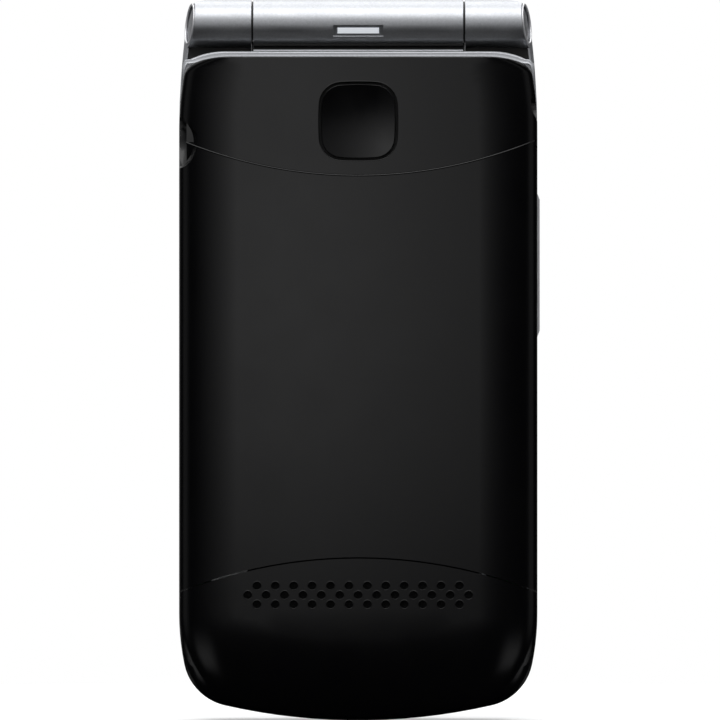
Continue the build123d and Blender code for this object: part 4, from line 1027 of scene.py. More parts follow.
@dataclass
class BackHousing:
    """The gloss-black back: upper and lower zones, battery door, seams and grille."""

    skin: PillowSkin = field(default_factory=PillowSkin)
    upper_seam: Pair = (68.0, 80.07)
    seam_bead: float = 0.13
    seam_sunk: float = 0.3
    seam_half_span: float = 25.2
    seam_gap: float = 0.1
    notch_clear: float = 25.3
    notch_middle: Pair = (-28.33, 85.0)
    notch_radius: float = 4.16
    notch_span: Pair = (84.95, 87.8)
    notch_outer: float = -25.2
    notch_floor: float = -7.08
    notch_faces: Pair = (0.05, 0.06)
    tongue_foot: float = 82.15
    tongue_sunk: float = 0.03
    grille_pitch: Pair = (2.7, 1.365)
    grille_height: float = 18.49
    grille_rows: Tuple[int, int, int] = (12, 13, 12)
    grille_sunk: float = 0.03
    hole_radius: float = 0.62
    rim_radius: float = 0.07
    rim_shift: float = 0.4

    def housings(self, shop: Workshop) -> None:
        """Sweeps the skin of the rear shell and of the door.

        Args:
            shop: the workshop.
        """
        for node, body in (("base_rear_shell", "base"), ("battery_door", "battery_door")):
            mesh = shop.smooth_copy(node, self.skin)
            shop.fit(f"{node}_polished", mesh, POLISHED_SHELL, body, [node])

    def seam_height(self, x: float) -> float:
        """The height of the upper seam at a place across the back."""
        radius, height = self.upper_seam
        return height + radius - sqrt(radius**2 - x**2)

    def seam(self, shop: Workshop) -> None:
        """Rolls the door's upper edge, which shows as a fine light line.

        Args:
            shop: the workshop.
        """
        bm = bmesh.new()
        path, outwards = [], []
        steps = 90
        for i in range(steps + 1):
            x = -self.notch_clear + (self.notch_clear + self.seam_half_span) * i / steps
            z = self.seam_height(x) - self.seam_bead / 2
            path.append(self.skin.at(x, z, -self.seam_sunk * self.seam_bead))
            outwards.append(self.skin.facing(x, z))
        add_bead(bm, path, outwards, self.seam_bead, 8, False)
        shop.add("door_edge_roll", bm, POLISHED_SHELL, Slot.BLACK_GLOSS, "battery_door", 60)

    def notch_edge(self, z: float) -> float:
        """How far across the nail notch reaches at a height."""
        middle_x, middle_z = self.notch_middle
        return middle_x + sqrt(self.notch_radius**2 - (z - middle_z) ** 2)

    def notch(self, shop: Workshop) -> None:
        """Moulds the crescent face of the nail notch, above the seam, on the housing.

        Args:
            shop: the workshop.
        """
        low, high = self.notch_span
        behind, ahead = self.notch_faces
        under, over = [], []
        rows, columns = 14, 6
        for i in range(rows + 1):
            z = high - (high - low) * i / rows
            width = self.notch_edge(z) - self.notch_outer
            line = [self.notch_outer + width * j / columns for j in range(columns + 1)]
            under.append([Vector((x, self.notch_floor + behind, z)) for x in line])
            over.append([Vector((x, self.notch_floor - ahead, z)) for x in line])
        bm = bmesh.new()
        add_slab(bm, under, over)
        shop.add("nail_notch_face", bm, SATIN_BUTTON, Slot.BLACK_GLOSS, "base", 50)

    def tongue(self, shop: Workshop) -> None:
        """Carries the door's skin on across the notch, so that a nail catches its upper edge.

        Args:
            shop: the workshop.
        """
        under, over = [], []
        rows, columns = 10, 6
        rise = self.seam_height(self.notch_outer) - self.seam_gap - self.tongue_foot
        for i in range(rows + 1):
            z = self.tongue_foot + rise * i / rows
            width = self.notch_edge(z) + self.seam_gap - self.notch_outer
            across = [self.notch_outer + width * j / columns for j in range(columns + 1)]
            line = [(x, min(z, self.seam_height(x) - self.seam_gap)) for x in across]
            under.append([Vector((x, self.notch_floor - self.tongue_sunk, z)) for x, z in line])
            over.append([Vector((x, self.skin.depth(x, z), z)) for x, z in line])
        bm = bmesh.new()
        add_slab(bm, under, over)
        shop.add("door_edge_tongue", bm, POLISHED_SHELL, Slot.BLACK_GLOSS, "battery_door", 50)

    def grille(self, shop: Workshop) -> None:
        """Rolls the rim of every sound hole.

        Args:
            shop: the workshop.
        """
        sizes = {"Column Pitch": self.grille_pitch[0], "Row Pitch": self.grille_pitch[1]}
        sizes.update({"Height": self.grille_height, "Depth": self.skin.face_y + self.grille_sunk})
        sizes.update({"Hole Radius": self.hole_radius + self.rim_shift * self.rim_radius})
        sizes.update({"Rim Radius": self.rim_radius})
        tree = RepeatTree("sound_hole_rims", sizes)
        pitch, row_pitch = tree.sizes["Column Pitch"], tree.sizes["Row Pitch"]
        step = tree.add("ShaderNodeCombineXYZ", inputs={0: pitch})
        lines = []
        for row, count in enumerate(self.grille_rows):
            first = folded(tree.tree, "MULTIPLY", pitch, -(count - 1) / 2)
            rise = folded(tree.tree, "MULTIPLY", row_pitch, row - 1.0)
            height = folded(tree.tree, "ADD", tree.sizes["Height"], rise)
            start = tree.add("ShaderNodeCombineXYZ", inputs={0: first, 1: tree.sizes["Depth"], 2: height})
            inputs = {"Count": count, "Start Location": start, "Offset": step}
            lines.append(tree.add("GeometryNodeMeshLine", inputs=inputs))
        holes = tree.add("GeometryNodeJoinGeometry", inputs={0: lines})
        inputs = {"Resolution": 20, "Radius": tree.sizes["Hole Radius"]}
        ring = tree.add("GeometryNodeCurvePrimitiveCircle", inputs=inputs)
        inputs = {"Resolution": 6, "Radius": tree.sizes["Rim Radius"]}
        bead = tree.add("GeometryNodeCurvePrimitiveCircle", inputs=inputs)
        rim = tree.add("GeometryNodeCurveToMesh", inputs={"Curve": ring, "Profile Curve": bead})
        inputs = {"Points": holes, "Instance": rim, "Rotation": (pi / 2, 0.0, 0.0)}
        rims = tree.add("GeometryNodeInstanceOnPoints", inputs=inputs)
        mesh = tree.bake(rims, shop.material(POLISHED_SHELL), 180)
        shop.fit("sound_hole_rims", mesh, POLISHED_SHELL, "base")

    def build(self, shop: Workshop) -> None:
        """Builds the whole back.

        Args:
            shop: the workshop.
        """
        self.housings(shop)
        self.seam(shop)
        self.notch(shop)
        self.tongue(shop)
        self.grille(shop)


@dataclass
class CallButton:
    """The dished button of the back, and the rolled edge of the hole that it sits in."""

    hole: Cushion = field(default_factory=lambda: Cushion(5.83, 0.35, 3.3))
    face_y: float = -9.0
    gap: float = 0.4
    edge_roll: float = 0.2
    roll_steps: int = 5
    dish_rings: int = 12
    dish_depth: float = 0.6
    dish_turn: float = 0.022
    dish_lean: float = 3.2
    dish_facing: float = 0.9
    rim_bead: float = 0.06
    rim_shift: Pair = (0.55, 0.72)
    flange_top: float = -7.85
    flange_reach: float = 0.6
    flange_cut: float = 0.2
    flange_thickness: float = 0.7
    sunk: float = 0.1
    stem_radius: float = 1.5

    def cap(self, shop: Workshop) -> None:
        """Moulds the cap: a rounded square, rolled at its edge and dished all over.

        Args:
            shop: the workshop.
        """
        top_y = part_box("emergency_button")[0][1] / MM
        face = Cushion(self.hole.half - self.gap, self.hole.bulge, self.hole.corner - self.gap)
        centre_x, centre_z = face.centre
        outer = face.outline()
        reach = max(sqrt((x - centre_x) ** 2 + (z - centre_z) ** 2) for x, z in outer)
        rings = [[(x, self.flange_top + self.sunk, z) for x, z in outer]]
        for i in range(self.roll_steps + 1):
            angle = pi / 2 * i / self.roll_steps
            edge_y = top_y + self.edge_roll * (1 - sin(angle))
            edge = face.outline(self.edge_roll * (1 - cos(angle)))
            rings.append([(x, edge_y + self.bowl(x - centre_x, z - centre_z, reach), z) for x, z in edge])
        rim = face.outline(self.edge_roll)
        for i in range(1, self.dish_rings):
            share = 1 - i / self.dish_rings
            inner = [((x - centre_x) * share, (z - centre_z) * share) for x, z in rim]
            rings.append([(centre_x + x, top_y + self.bowl(x, z, reach), centre_z + z) for x, z in inner])
        bm = bmesh.new()
        drawn = [[bm.verts.new(point) for point in ring] for ring in rings]
        join_rings(bm, drawn, False)
        bm.faces.new(drawn[0])
        tip = bm.verts.new((centre_x, top_y + self.bowl(0.0, 0.0, reach), centre_z))
        last = drawn[-1]
        for i in range(len(last)):
            bm.faces.new((last[i], last[(i + 1) % len(last)], tip))
        mesh = shop.mesh("button_cap", bm, 40)
        self.polish(mesh)
        node = "emergency_button"
        shop.fit("button_cap", mesh, SATIN_BUTTON, node, [node])

    def bowl(self, across: float, up: float, reach: float) -> float:
        """How deep the dish is at a place off its middle."""
        return self.dish_depth * (1 - (across**2 + up**2) / reach**2)

    def polish(self, mesh: Mesh) -> None:
        """Turns the cap's dished face as the polish leaves it, steepest at the upper left.

        Args:
            mesh: the cap, in metres.
        """
        centre_x, centre_z = self.hole.centre
        corners = [Vector(corner.vector) for corner in mesh.corner_normals]
        for face in mesh.polygons:
            if face.normal.y > -self.dish_facing or face.center.y > (self.face_y + self.dish_depth) * MM:
                continue
            for index in face.loop_indices:
                place = mesh.vertices[mesh.loops[index].vertex_index].co / MM
                across = -self.dish_turn * (place.x - centre_x - self.dish_lean)
                up = -self.dish_turn * (place.z - centre_z + self.dish_lean)
                corners[index] = Vector((across, -1.0, up)).normalized()
        mesh.normals_split_custom_set([tuple(corner) for corner in corners])

    def plunger(self, shop: Workshop) -> None:
        """Moulds what carries the cap: the flange that keeps it in, and the stem on the switch.

        Args:
            shop: the workshop.
        """
        foot_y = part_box("emergency_button")[1][1] / MM
        centre_x, centre_z = self.hole.centre
        brim = Cushion(self.hole.half + self.flange_reach, self.hole.bulge, self.hole.corner)
        cut_z = centre_z + self.hole.half - self.flange_cut
        outline = [(x, min(z, cut_z)) for x, z in brim.outline()]
        bm = bmesh.new()
        add_prism(bm, outline, self.flange_top, self.flange_top + self.flange_thickness)
        stem_y = self.flange_top + self.sunk
        length = foot_y - stem_y
        profile = [(0.0, 0.0), (self.stem_radius, 0.0), (self.stem_radius, length), (0.0, length)]
        add_lathe(bm, profile, stand_at(centre_x, stem_y, centre_z), 32)
        shop.add("button_plunger", bm, GLASS_FILLED, Slot.MOULDED_BLACK, "emergency_button", 40)

    def hole_rim(self, shop: Workshop, skin: PillowSkin) -> None:
        """Rolls the edge of the housing round the button.

        Args:
            shop: the workshop.
            skin: the shell's outer skin.
        """
        outwards, inwards = (share * self.rim_bead for share in self.rim_shift)
        outline = self.hole.outline(-outwards)
        bm = bmesh.new()
        path = [skin.at(x, z, -inwards) for x, z in outline]
        add_bead(bm, path, [skin.facing(x, z) for x, z in outline], self.rim_bead, 8, True)
        shop.add("button_hole_rim", bm, POLISHED_SHELL, Slot.BLACK_GLOSS, "base", 60)

    def build(self, shop: Workshop, skin: PillowSkin) -> None:
        """Builds the button and its hole's rim.

        Args:
            shop: the workshop.
            skin: the shell's outer skin.
        """
        self.cap(shop)
        self.plunger(shop)
        self.hole_rim(shop, skin)


@dataclass
class HingeTrim:
    """The trim of the hinge: washers, black strips and fillet that stand in for shade (painted shade), rings
    in a lighter lacquer (painted highlight), and the shell's lip.
    """

    axis: Pair = (1.25, 102.5)
    barrel_half: float = 15.45
    gap: float = 0.3
    washer_clear: float = 0.08
    washer_radii: Pair = (2.3, 3.3)
    liner_span: Pair = (98.3, 99.75)
    liner_depths: Pair = (0.0, 1.05)
    liner_clear: Pair = (0.02, 0.04)
    liner_cut: float = 0.06
    neck_depths: Pair = (-0.31, -0.2)
    neck_foot: float = 98.8
    neck_radius: float = 0.45
    neck_turn: float = 76.0
    neck_margins: Pair = (0.1, 0.4)
    neck_clear: float = 0.01
    strip_half: float = 24.4
    strip_section: Tuple[Pair, ...] = ((0.7, -1.42), (0.93, -1.42), (0.93, 1.02), (0.7, 1.02))
    foot_depths: Pair = (1.3, 1.42)
    foot_outline: Tuple[Pair, ...] = (
        (15.8, 99.04), (24.98, 99.04), (25.08, 98.2), (25.18, 97.4), (25.22, 97.0), (25.1, 96.8),
        (23.5, 97.0), (20.0, 97.4), (15.8, 97.4),
    )
    end_centre: Point = (24.38, 1.34, 102.45)
    end_facing: Point = (0.9746, -0.1894, 0.1197)
    end_face: float = 0.44
    end_radius: float = 2.9
    end_bead: float = 0.17
    rim_foot: float = 89.5
    rim_full: float = 96.9
    rim_least: float = 0.05
    rim_corner_rise: float = 1.6
    rim_section: Tuple[Pair, ...] = (
        (0.03, -1.45), (0.03, -1.72), (0.07, -1.76), (0.13, -1.755), (0.21, -1.728), (0.33, -1.7),
        (0.47, -1.678), (0.62, -1.665), (0.76, -1.655), (0.8, -1.61), (0.8, -1.45),
    )

    def washers(self, shop: Workshop) -> None:
        """Turns the two black nylon washers that run between the barrel and the knuckles; their black also
        stands in for the shade in those gaps (painted shade).

        Args:
            shop: the workshop.
        """
        bm = bmesh.new()
        bore, outer = self.washer_radii
        half = (self.gap - self.washer_clear) / 2
        profile = [(bore, -half), (outer, -half), (outer, half), (bore, half)]
        for side in (-1, 1):
            middle = Vector((side * (self.barrel_half + self.gap / 2), *self.axis))
            add_tube(bm, profile, Matrix.Translation(middle) @ Matrix.Rotation(pi / 2, 4, "Y"), 64)
        # Painted shade, in part: the washers' black also darkens the gaps at the barrel's ends.
        shop.add("hinge_washers", bm, GLASS_FILLED, Slot.MOULDED_BLACK, "base")

    def liners(self, shop: Workshop) -> None:
        """Cuts the black strips that close the slots at both sides of the neck: painted shade, dark pieces
        where the slots lie in shade.

        Args:
            shop: the workshop.
        """
        bm = bmesh.new()
        low, high = self.liner_span
        for side in (-1, 1):
            inner = side * (self.barrel_half - self.liner_clear[0])
            outer = side * (self.barrel_half + self.gap - self.liner_clear[1])
            chamfer = outer - side * self.liner_cut
            outline = [(inner, low), (chamfer, low), (outer, low + self.liner_cut)]
            outline += [(outer, high - self.liner_cut), (chamfer, high), (inner, high)]
            add_prism(bm, outline, *self.liner_depths)
        # Painted shade: black strips in the slots beside the neck.
        shop.add("neck_slot_shade_liners", bm, GLASS_FILLED, Slot.MOULDED_BLACK, "base")

    def neck(self, shop: Workshop) -> None:
        """Rolls the soft black fillet between the neck and the barrel's underside: painted shade, a dark
        piece in the crease under the barrel.

        Args:
            shop: the workshop.
        """
        face_y, behind = self.neck_depths
        low = self.neck_foot - self.neck_margins[0]
        high = self.neck_foot + self.neck_radius + self.neck_margins[1]
        centre = (face_y - self.neck_radius, self.neck_foot)
        curve = arc_points(centre, self.neck_radius, 0.0, radians(self.neck_turn), 8)
        section = [(behind, low), (face_y, low)] + curve + [(curve[-1][0], high), (behind, high)]
        end = self.barrel_half - self.neck_clear
        bm = bmesh.new()
        add_bar(bm, [[(x, y, z) for y, z in section] for x in (-end, end)])
        # Painted shade: a black piece in the crease under the barrel.
        shop.add("neck_shade_fillet", bm, GLASS_FILLED, Slot.MOULDED_BLACK, "base", 40)

    def gap_strip(self, shop: Workshop, skin: PillowSkin) -> None:
        """Lays the soft black strip on the frame's top edge, under the barrel and the knuckles: painted
        shade, a dark strip where the shade under the hinge falls.

        Args:
            shop: the workshop.
            skin: the shell's outer skin.
        """
        bm = bmesh.new()
        steps = 120
        across = [self.strip_half * (2 * i / steps - 1) for i in range(steps + 1)]
        add_bar(bm, [[(x, y, skin.top_edge(x) + up) for up, y in self.strip_section] for x in across])
        # Painted shade: a black strip under the barrel and the knuckles.
        shop.add("hinge_gap_shade_strip", bm, GLASS_FILLED, Slot.MOULDED_BLACK, "base", 40)

    def feet(self, shop: Workshop) -> None:
        """Cuts the soft black strips at the foot of the knuckles, where the lid meets the base: painted
        shade, dark strips where the shade under the knuckles falls.

        Args:
            shop: the workshop.
        """
        bm = bmesh.new()
        for side in (-1, 1):
            add_prism(bm, [(side * x, z) for x, z in self.foot_outline], *self.foot_depths)
        # Painted shade: black strips at the foot of the knuckles.
        shop.add("knuckle_foot_shade_strips", bm, GLASS_FILLED, Slot.MOULDED_BLACK, "lid")

    def end_rings(self, shop: Workshop) -> None:
        """Rolls the ring round the recess of each end cap, in the lighter copy of the lacquer: its
        brightness is a painted highlight.

        Args:
            shop: the workshop.
        """
        bm = bmesh.new()
        for side in (-1, 1):
            mirror = Vector((side, 1.0, 1.0))
            facing = Vector(self.end_facing).normalized() * mirror
            first = facing.orthogonal().normalized()
            second = facing.cross(first)
            middle = Vector(self.end_centre) * mirror + facing * self.end_face
            path = [middle + first * a + second * b for a, b in circle_points(self.end_radius, 72)]
            add_bead(bm, path, [facing] * len(path), self.end_bead, 10, True)
        # Painted highlight: the rings wear the lighter copy of the lacquer.
        shop.add("knuckle_highlight_rings", bm, HIGHLIGHT_LACQUER, Slot.SILVER_PAINT, "lid", 60)

    def rim_path(self, skin: PillowSkin) -> List[Pair]:
        """The line that the lip follows: up the left side of the shell, over its top and down.

        Args:
            skin: the shell's skin, whose outline the lip follows.

        Returns:
            Its points as width and height pairs, evenly spaced.
        """
        steps = 64
        side = []
        for i in range(steps + 1):
            z = self.rim_foot + (skin.top - self.rim_foot) * i / steps
            side.append((skin.lead(skin.side_lead, z - skin.top + skin.side_lead[1]) - skin.half_width, z))
        left = side[-1][0]
        across = [left * (1 - 2 * i / steps) for i in range(1, steps)]
        over = [(x, skin.top_edge(x)) for x in across]
        side = [place for place in side if place[1] < over[0][1]]
        return self.evened(side + over + [(-x, z) for x, z in side[::-1]])

    @staticmethod
    def evened(path: Sequence[Pair], pitch: float = 0.6) -> List[Pair]:
        """Spaces a path's points evenly along it, so that its corners stay smooth.

        Args:
            path: the points.
            pitch: the distance between two points.

        Returns:
            The new points.
        """
        result = [path[0]]
        left = pitch
        for first, second in zip(path, path[1:]):
            length = dist(first, second)
            gone = 0.0
            while length - gone > left:
                gone += left
                result.append(tuple(Vector(first).lerp(Vector(second), gone / length)))
                left = pitch
            left -= length - gone
        return result + [path[-1]]

    def rim(self, shop: Workshop, skin: PillowSkin) -> None:
        """Rolls the bright lip that the frame turns up against the black shell, over the top.

        It narrows down the shell's corners, to next to nothing at its feet.

        Args:
            shop: the workshop.
            skin: the shell's skin, whose outline the lip follows.
        """
        path = self.rim_path(skin)
        base_y = self.rim_section[0][1]
        sections = []
        for i, (x, z) in enumerate(path):
            before, after = path[max(0, i - 1)], path[min(len(path) - 1, i + 1)]
            run = Vector((after[0] - before[0], 0.0, after[1] - before[1])).normalized()
            out = Vector((-run.z, 0.0, run.x))
            share = min(1.0, (z - self.rim_foot) / (self.rim_full - self.rim_foot))
            width = max(self.rim_least, share**3)
            # The lip stands up most where it has narrowed to a quarter.
            steep = 1 + self.rim_corner_rise * (1 - width) * min(1.0, 4 * width)
            section = [(across * width, base_y + (y - base_y) * steep) for across, y in self.rim_section]
            sections.append([Vector((x, y, z)) + across * out for across, y in section])
        bm = bmesh.new()
        add_bar(bm, sections)
        shop.add("shell_rim_lip", bm, SILVER_LACQUER, Slot.SILVER_PAINT, "base", 50)

    def build(self, shop: Workshop, skin: PillowSkin) -> None:
        """Builds the hinge's trim.

        Args:
            shop: the workshop.
            skin: the shell's outer skin.
        """
        self.washers(shop)
        self.liners(shop)
        self.neck(shop)
        self.gap_strip(shop, skin)
        self.feet(shop)
        self.end_rings(shop)
        self.rim(shop, skin)


@dataclass
class ScrewSet:
    """Cross-head screws of one kind, driven in from the back."""

    name: str
    node: str
    body: str
    places: Sequence[Pair]
    seat_y: float
    shank_length: float
    head_radius: float = 1.4
    head_height: float = 0.85
    shank_radius: float = 0.68
    slot_length: float = 1.9
    slot_width: float = 0.38
    slot_depth: float = 0.45

    @staticmethod
    def raised(tree: RepeatTree, geometry: Socket, height: Socket) -> Socket:
        """Moves a geometry along the screw's axis."""
        way = tree.add("ShaderNodeCombineXYZ", inputs={2: height})
        return tree.add("GeometryNodeTransform", inputs={"Geometry": geometry, "Translation": way})

    def build(self, shop: Workshop) -> None:
        """Forms one screw, with a cross cut in its head, and stands a copy at each place.

        Args:
            shop: the workshop.
        """
        sizes = {"Head Radius": self.head_radius, "Head Height": self.head_height}
        sizes.update({"Shank Radius": self.shank_radius, "Shank Length": self.shank_length})
        sizes.update({"Slot Length": self.slot_length, "Slot Width": self.slot_width})
        sizes.update({"Slot Depth": self.slot_depth})
        tree = RepeatTree(self.name, sizes)
        rods = []
        for vertices, radius, length, share in (
            (40, "Head Radius", "Head Height", 0.5),
            (24, "Shank Radius", "Shank Length", -0.5),
        ):
            inputs = {"Vertices": vertices, "Radius": tree.sizes[radius], "Depth": tree.sizes[length]}
            rod = tree.add("GeometryNodeMeshCylinder", inputs=inputs)
            rods.append(self.raised(tree, rod, folded(tree.tree, "MULTIPLY", tree.sizes[length], share)))
        deep = folded(tree.tree, "MULTIPLY", tree.sizes["Slot Depth"], 2.0)
        cuts = []
        for long, short in (("Slot Length", "Slot Width"), ("Slot Width", "Slot Length")):
            inputs = {0: tree.sizes[long], 1: tree.sizes[short], 2: deep}
            size = tree.add("ShaderNodeCombineXYZ", inputs=inputs)
            cut = tree.add("GeometryNodeMeshCube", inputs={"Size": size})
            cuts.append(self.raised(tree, cut, tree.sizes["Head Height"]))
        settings = {"operation": "DIFFERENCE", "solver": "EXACT"}
        head = tree.add("GeometryNodeMeshBoolean", settings, {"Mesh 1": rods[0], "Mesh 2": cuts})
        screw = tree.add("GeometryNodeJoinGeometry", inputs={0: [head, rods[1]]})
        stands = []
        for x, z in self.places:
            inputs = {"Count": 1, "Start Location": (x * MM, self.seat_y * MM, z * MM)}
            stands.append(tree.add("GeometryNodeMeshLine", inputs=inputs))
        points = tree.add("GeometryNodeJoinGeometry", inputs={0: stands})
        inputs = {"Points": points, "Instance": screw, "Rotation": (pi / 2, 0.0, 0.0)}
        screws = tree.add("GeometryNodeInstanceOnPoints", inputs=inputs)
        mesh = tree.bake(screws, shop.material(ZINC_SCREW), 30)
        shop.fit(self.name, mesh, ZINC_SCREW, self.body, [self.node])


class Legend(Enum):
    """The marks of the four keys beside the ring."""

    ANSWER = "answer"
    HANG_UP = "hang up"
    DASH = "dash"


@dataclass
class KeyLegends:
    """The marks printed on the keypad: plain digits, star and hash, and the usual call symbols."""

    column_pitch: float = 14.6
    row_pitch: float = 12.4
    bottom_row: float = 22.6
    side_key_x: float = 17.6
    soft_key_z: float = 84.6
    call_key_z: float = 74.4
    nav_z: float = 78.6
    digit_size: float = 5.2
    ink: float = 0.02
    rows: Tuple[Tuple[str, ...], ...] = (("1", "2", "3"), ("4", "5", "6"), ("7", "8", "9"), ("*", "0", "#"))
    handset_radii: Pair = (2.5, 1.55)
    handset_drop: float = -1.1
    handset_ends: Tuple[Pair, Pair] = ((1.02, -0.16), (1.32, -0.62))
    dash_half: float = 1.1
    dash_radius: float = 0.25
    arrow_reaches: Pair = (7.6, 8.6)
    arrow_half: Pair = (0.75, 0.45)
    ok_radius: float = 1.5
    ok_bead: float = 0.16
    ok_flatness: float = 0.2

    @staticmethod
    def top(node: str) -> float:
        """The depth of a key's top."""
        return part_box(node)[1][1] / MM

    def digits(self, shop: Workshop) -> None:
        """Prints the twelve dialling marks.

        Args:
            shop: the workshop.
        """
        names = {"*": "star", "#": "hash"}
        for row, marks in enumerate(self.rows):
            for column, mark in enumerate(marks):
                node = f"key_{names.get(mark, mark)}"
                x = (1 - column) * self.column_pitch
                z = self.bottom_row + (3 - row) * self.row_pitch
                mesh = self.glyph(mark, x, z, self.top(node))
                shop.fit(f"{node}_mark", mesh, WHITE_INK, node)

    def glyph(self, mark: str, x: float, z: float, y: float) -> Mesh:
        """Makes a thin raised mark, centred at a place.

        Args:
            mark: the character.
            x: width of its middle, in millimetres.
            z: height of its middle.
            y: depth of the face it is printed on.

        Returns:
            The mark's mesh, in metres.
        """
        curve = bpy.data.curves.new(f"mark_{mark}", "FONT")
        curve.body = mark
        curve.size = self.digit_size
        curve.extrude = self.ink
        curve.resolution_u = 4
        holder = bpy.data.objects.new("mark_holder", curve)
        bpy.context.scene.collection.objects.link(holder)
        graph = bpy.context.evaluated_depsgraph_get()
        mesh = bpy.data.meshes.new_from_object(holder.evaluated_get(graph), depsgraph=graph)
        bpy.data.objects.remove(holder)
        bpy.data.curves.remove(curve)
        corners = [vertex.co for vertex in mesh.vertices]
        middle_x = (min(c.x for c in corners) + max(c.x for c in corners)) / 2
        middle_y = (min(c.y for c in corners) + max(c.y for c in corners)) / 2
        turn = Matrix(((-1, 0, 0, x), (0, 0, 1, y), (0, 1, 0, z), (0, 0, 0, 1)))
        mesh.transform(Matrix.Scale(MM, 4) @ turn @ Matrix.Translation((-middle_x, -middle_y, 0)))
        return mesh

    def handset(self, droop: float) -> List[Pair]:
        """The outline of a telephone handset, turned by the given angle in degrees.

        Args:
            droop: how far it is turned, in degrees.

        Returns:
            Its points, about the mark's middle.
        """
        outer, inner = self.handset_radii
        back = arc_points((0.0, self.handset_drop), outer, radians(28), radians(152), 16)
        inside = arc_points((0.0, self.handset_drop), inner, radians(140), radians(40), 12)
        mouth = list(self.handset_ends)
        ear = [(-x, y) for x, y in mouth[::-1]]
        turn = Matrix.Rotation(radians(droop), 2)
        return [tuple(turn @ Vector(point)) for point in back + ear + inside + mouth]

    def symbol(self, legend: Legend) -> Tuple[List[Pair], Finish]:
        """The outline and the ink of a call or menu mark.

        Args:
            legend: which mark it is.

        Returns:
            The outline's points, about its middle, and the ink.
        """
        if legend is Legend.ANSWER:
            return self.handset(45), GREEN_INK
        if legend is Legend.HANG_UP:
            return self.handset(0), RED_INK
        right = arc_points((self.dash_half, 0.0), self.dash_radius, -pi / 2, pi / 2, 8)
        return right + [(-x, -y) for x, y in right], WHITE_INK

    def symbols(self, shop: Workshop) -> None:
        """Prints the marks of the four keys beside the ring.

        Args:
            shop: the workshop.
        """
        for node, side, z, legend in (
            ("soft_key_left", 1, self.soft_key_z, Legend.DASH),
            ("soft_key_right", -1, self.soft_key_z, Legend.DASH),
            ("call_key", 1, self.call_key_z, Legend.ANSWER),
            ("end_key", -1, self.call_key_z, Legend.HANG_UP),
        ):
            outline, finish = self.symbol(legend)
            y = self.top(node)
            placed = [(side * self.side_key_x - across, z + up) for across, up in outline]
            bm = bmesh.new()
            add_prism(bm, placed, y - self.ink, y + self.ink)
            shop.add(f"{node}_mark", bm, finish, Slot.KEY_BLACK, node)

    def arrows(self, shop: Workshop) -> None:
        """Prints an arrow head on each side of the ring.

        Args:
            shop: the workshop.
        """
        y = self.top("nav_rocker")
        half, rise = self.arrow_half
        bm = bmesh.new()
        for quarter in range(4):
            turn = Matrix.Rotation(quarter * pi / 2, 2)
            reach = self.arrow_reaches[quarter % 2]
            head = [(-half, reach - rise), (half, reach - rise), (0.0, reach + rise)]
            placed = [turn @ Vector(point) for point in head]
            add_prism(bm, [(p.x, self.nav_z + p.y) for p in placed], y - self.ink, y + self.ink)
        shop.add("ring_arrows", bm, GREY_INK, Slot.SILVER_PAINT, "nav_rocker")

    def ok_ring(self, shop: Workshop) -> None:
        """Prints a small ring on the key in the middle, as a bead that is pressed flat.

        Args:
            shop: the workshop.
        """
        y = self.top("ok_key")
        bm = bmesh.new()
        circle = [Vector((x, y, self.nav_z + z)) for x, z in circle_points(self.ok_radius, 40)]
        add_bead(bm, circle, [Vector((0, 1, 0))] * len(circle), self.ok_bead, 6, True)
        mesh = shop.mesh("ok_ring_mark", bm, 60)
        for vertex in mesh.vertices:
            vertex.co.y = y * MM + (vertex.co.y - y * MM) * self.ok_flatness
        shop.fit("ok_ring_mark", mesh, WHITE_INK, "ok_key")

    def build(self, shop: Workshop) -> None:
        """Prints every mark.

        Args:
            shop: the workshop.
        """
        self.digits(shop)
        self.symbols(shop)
        self.arrows(shop)
        self.ok_ring(shop)


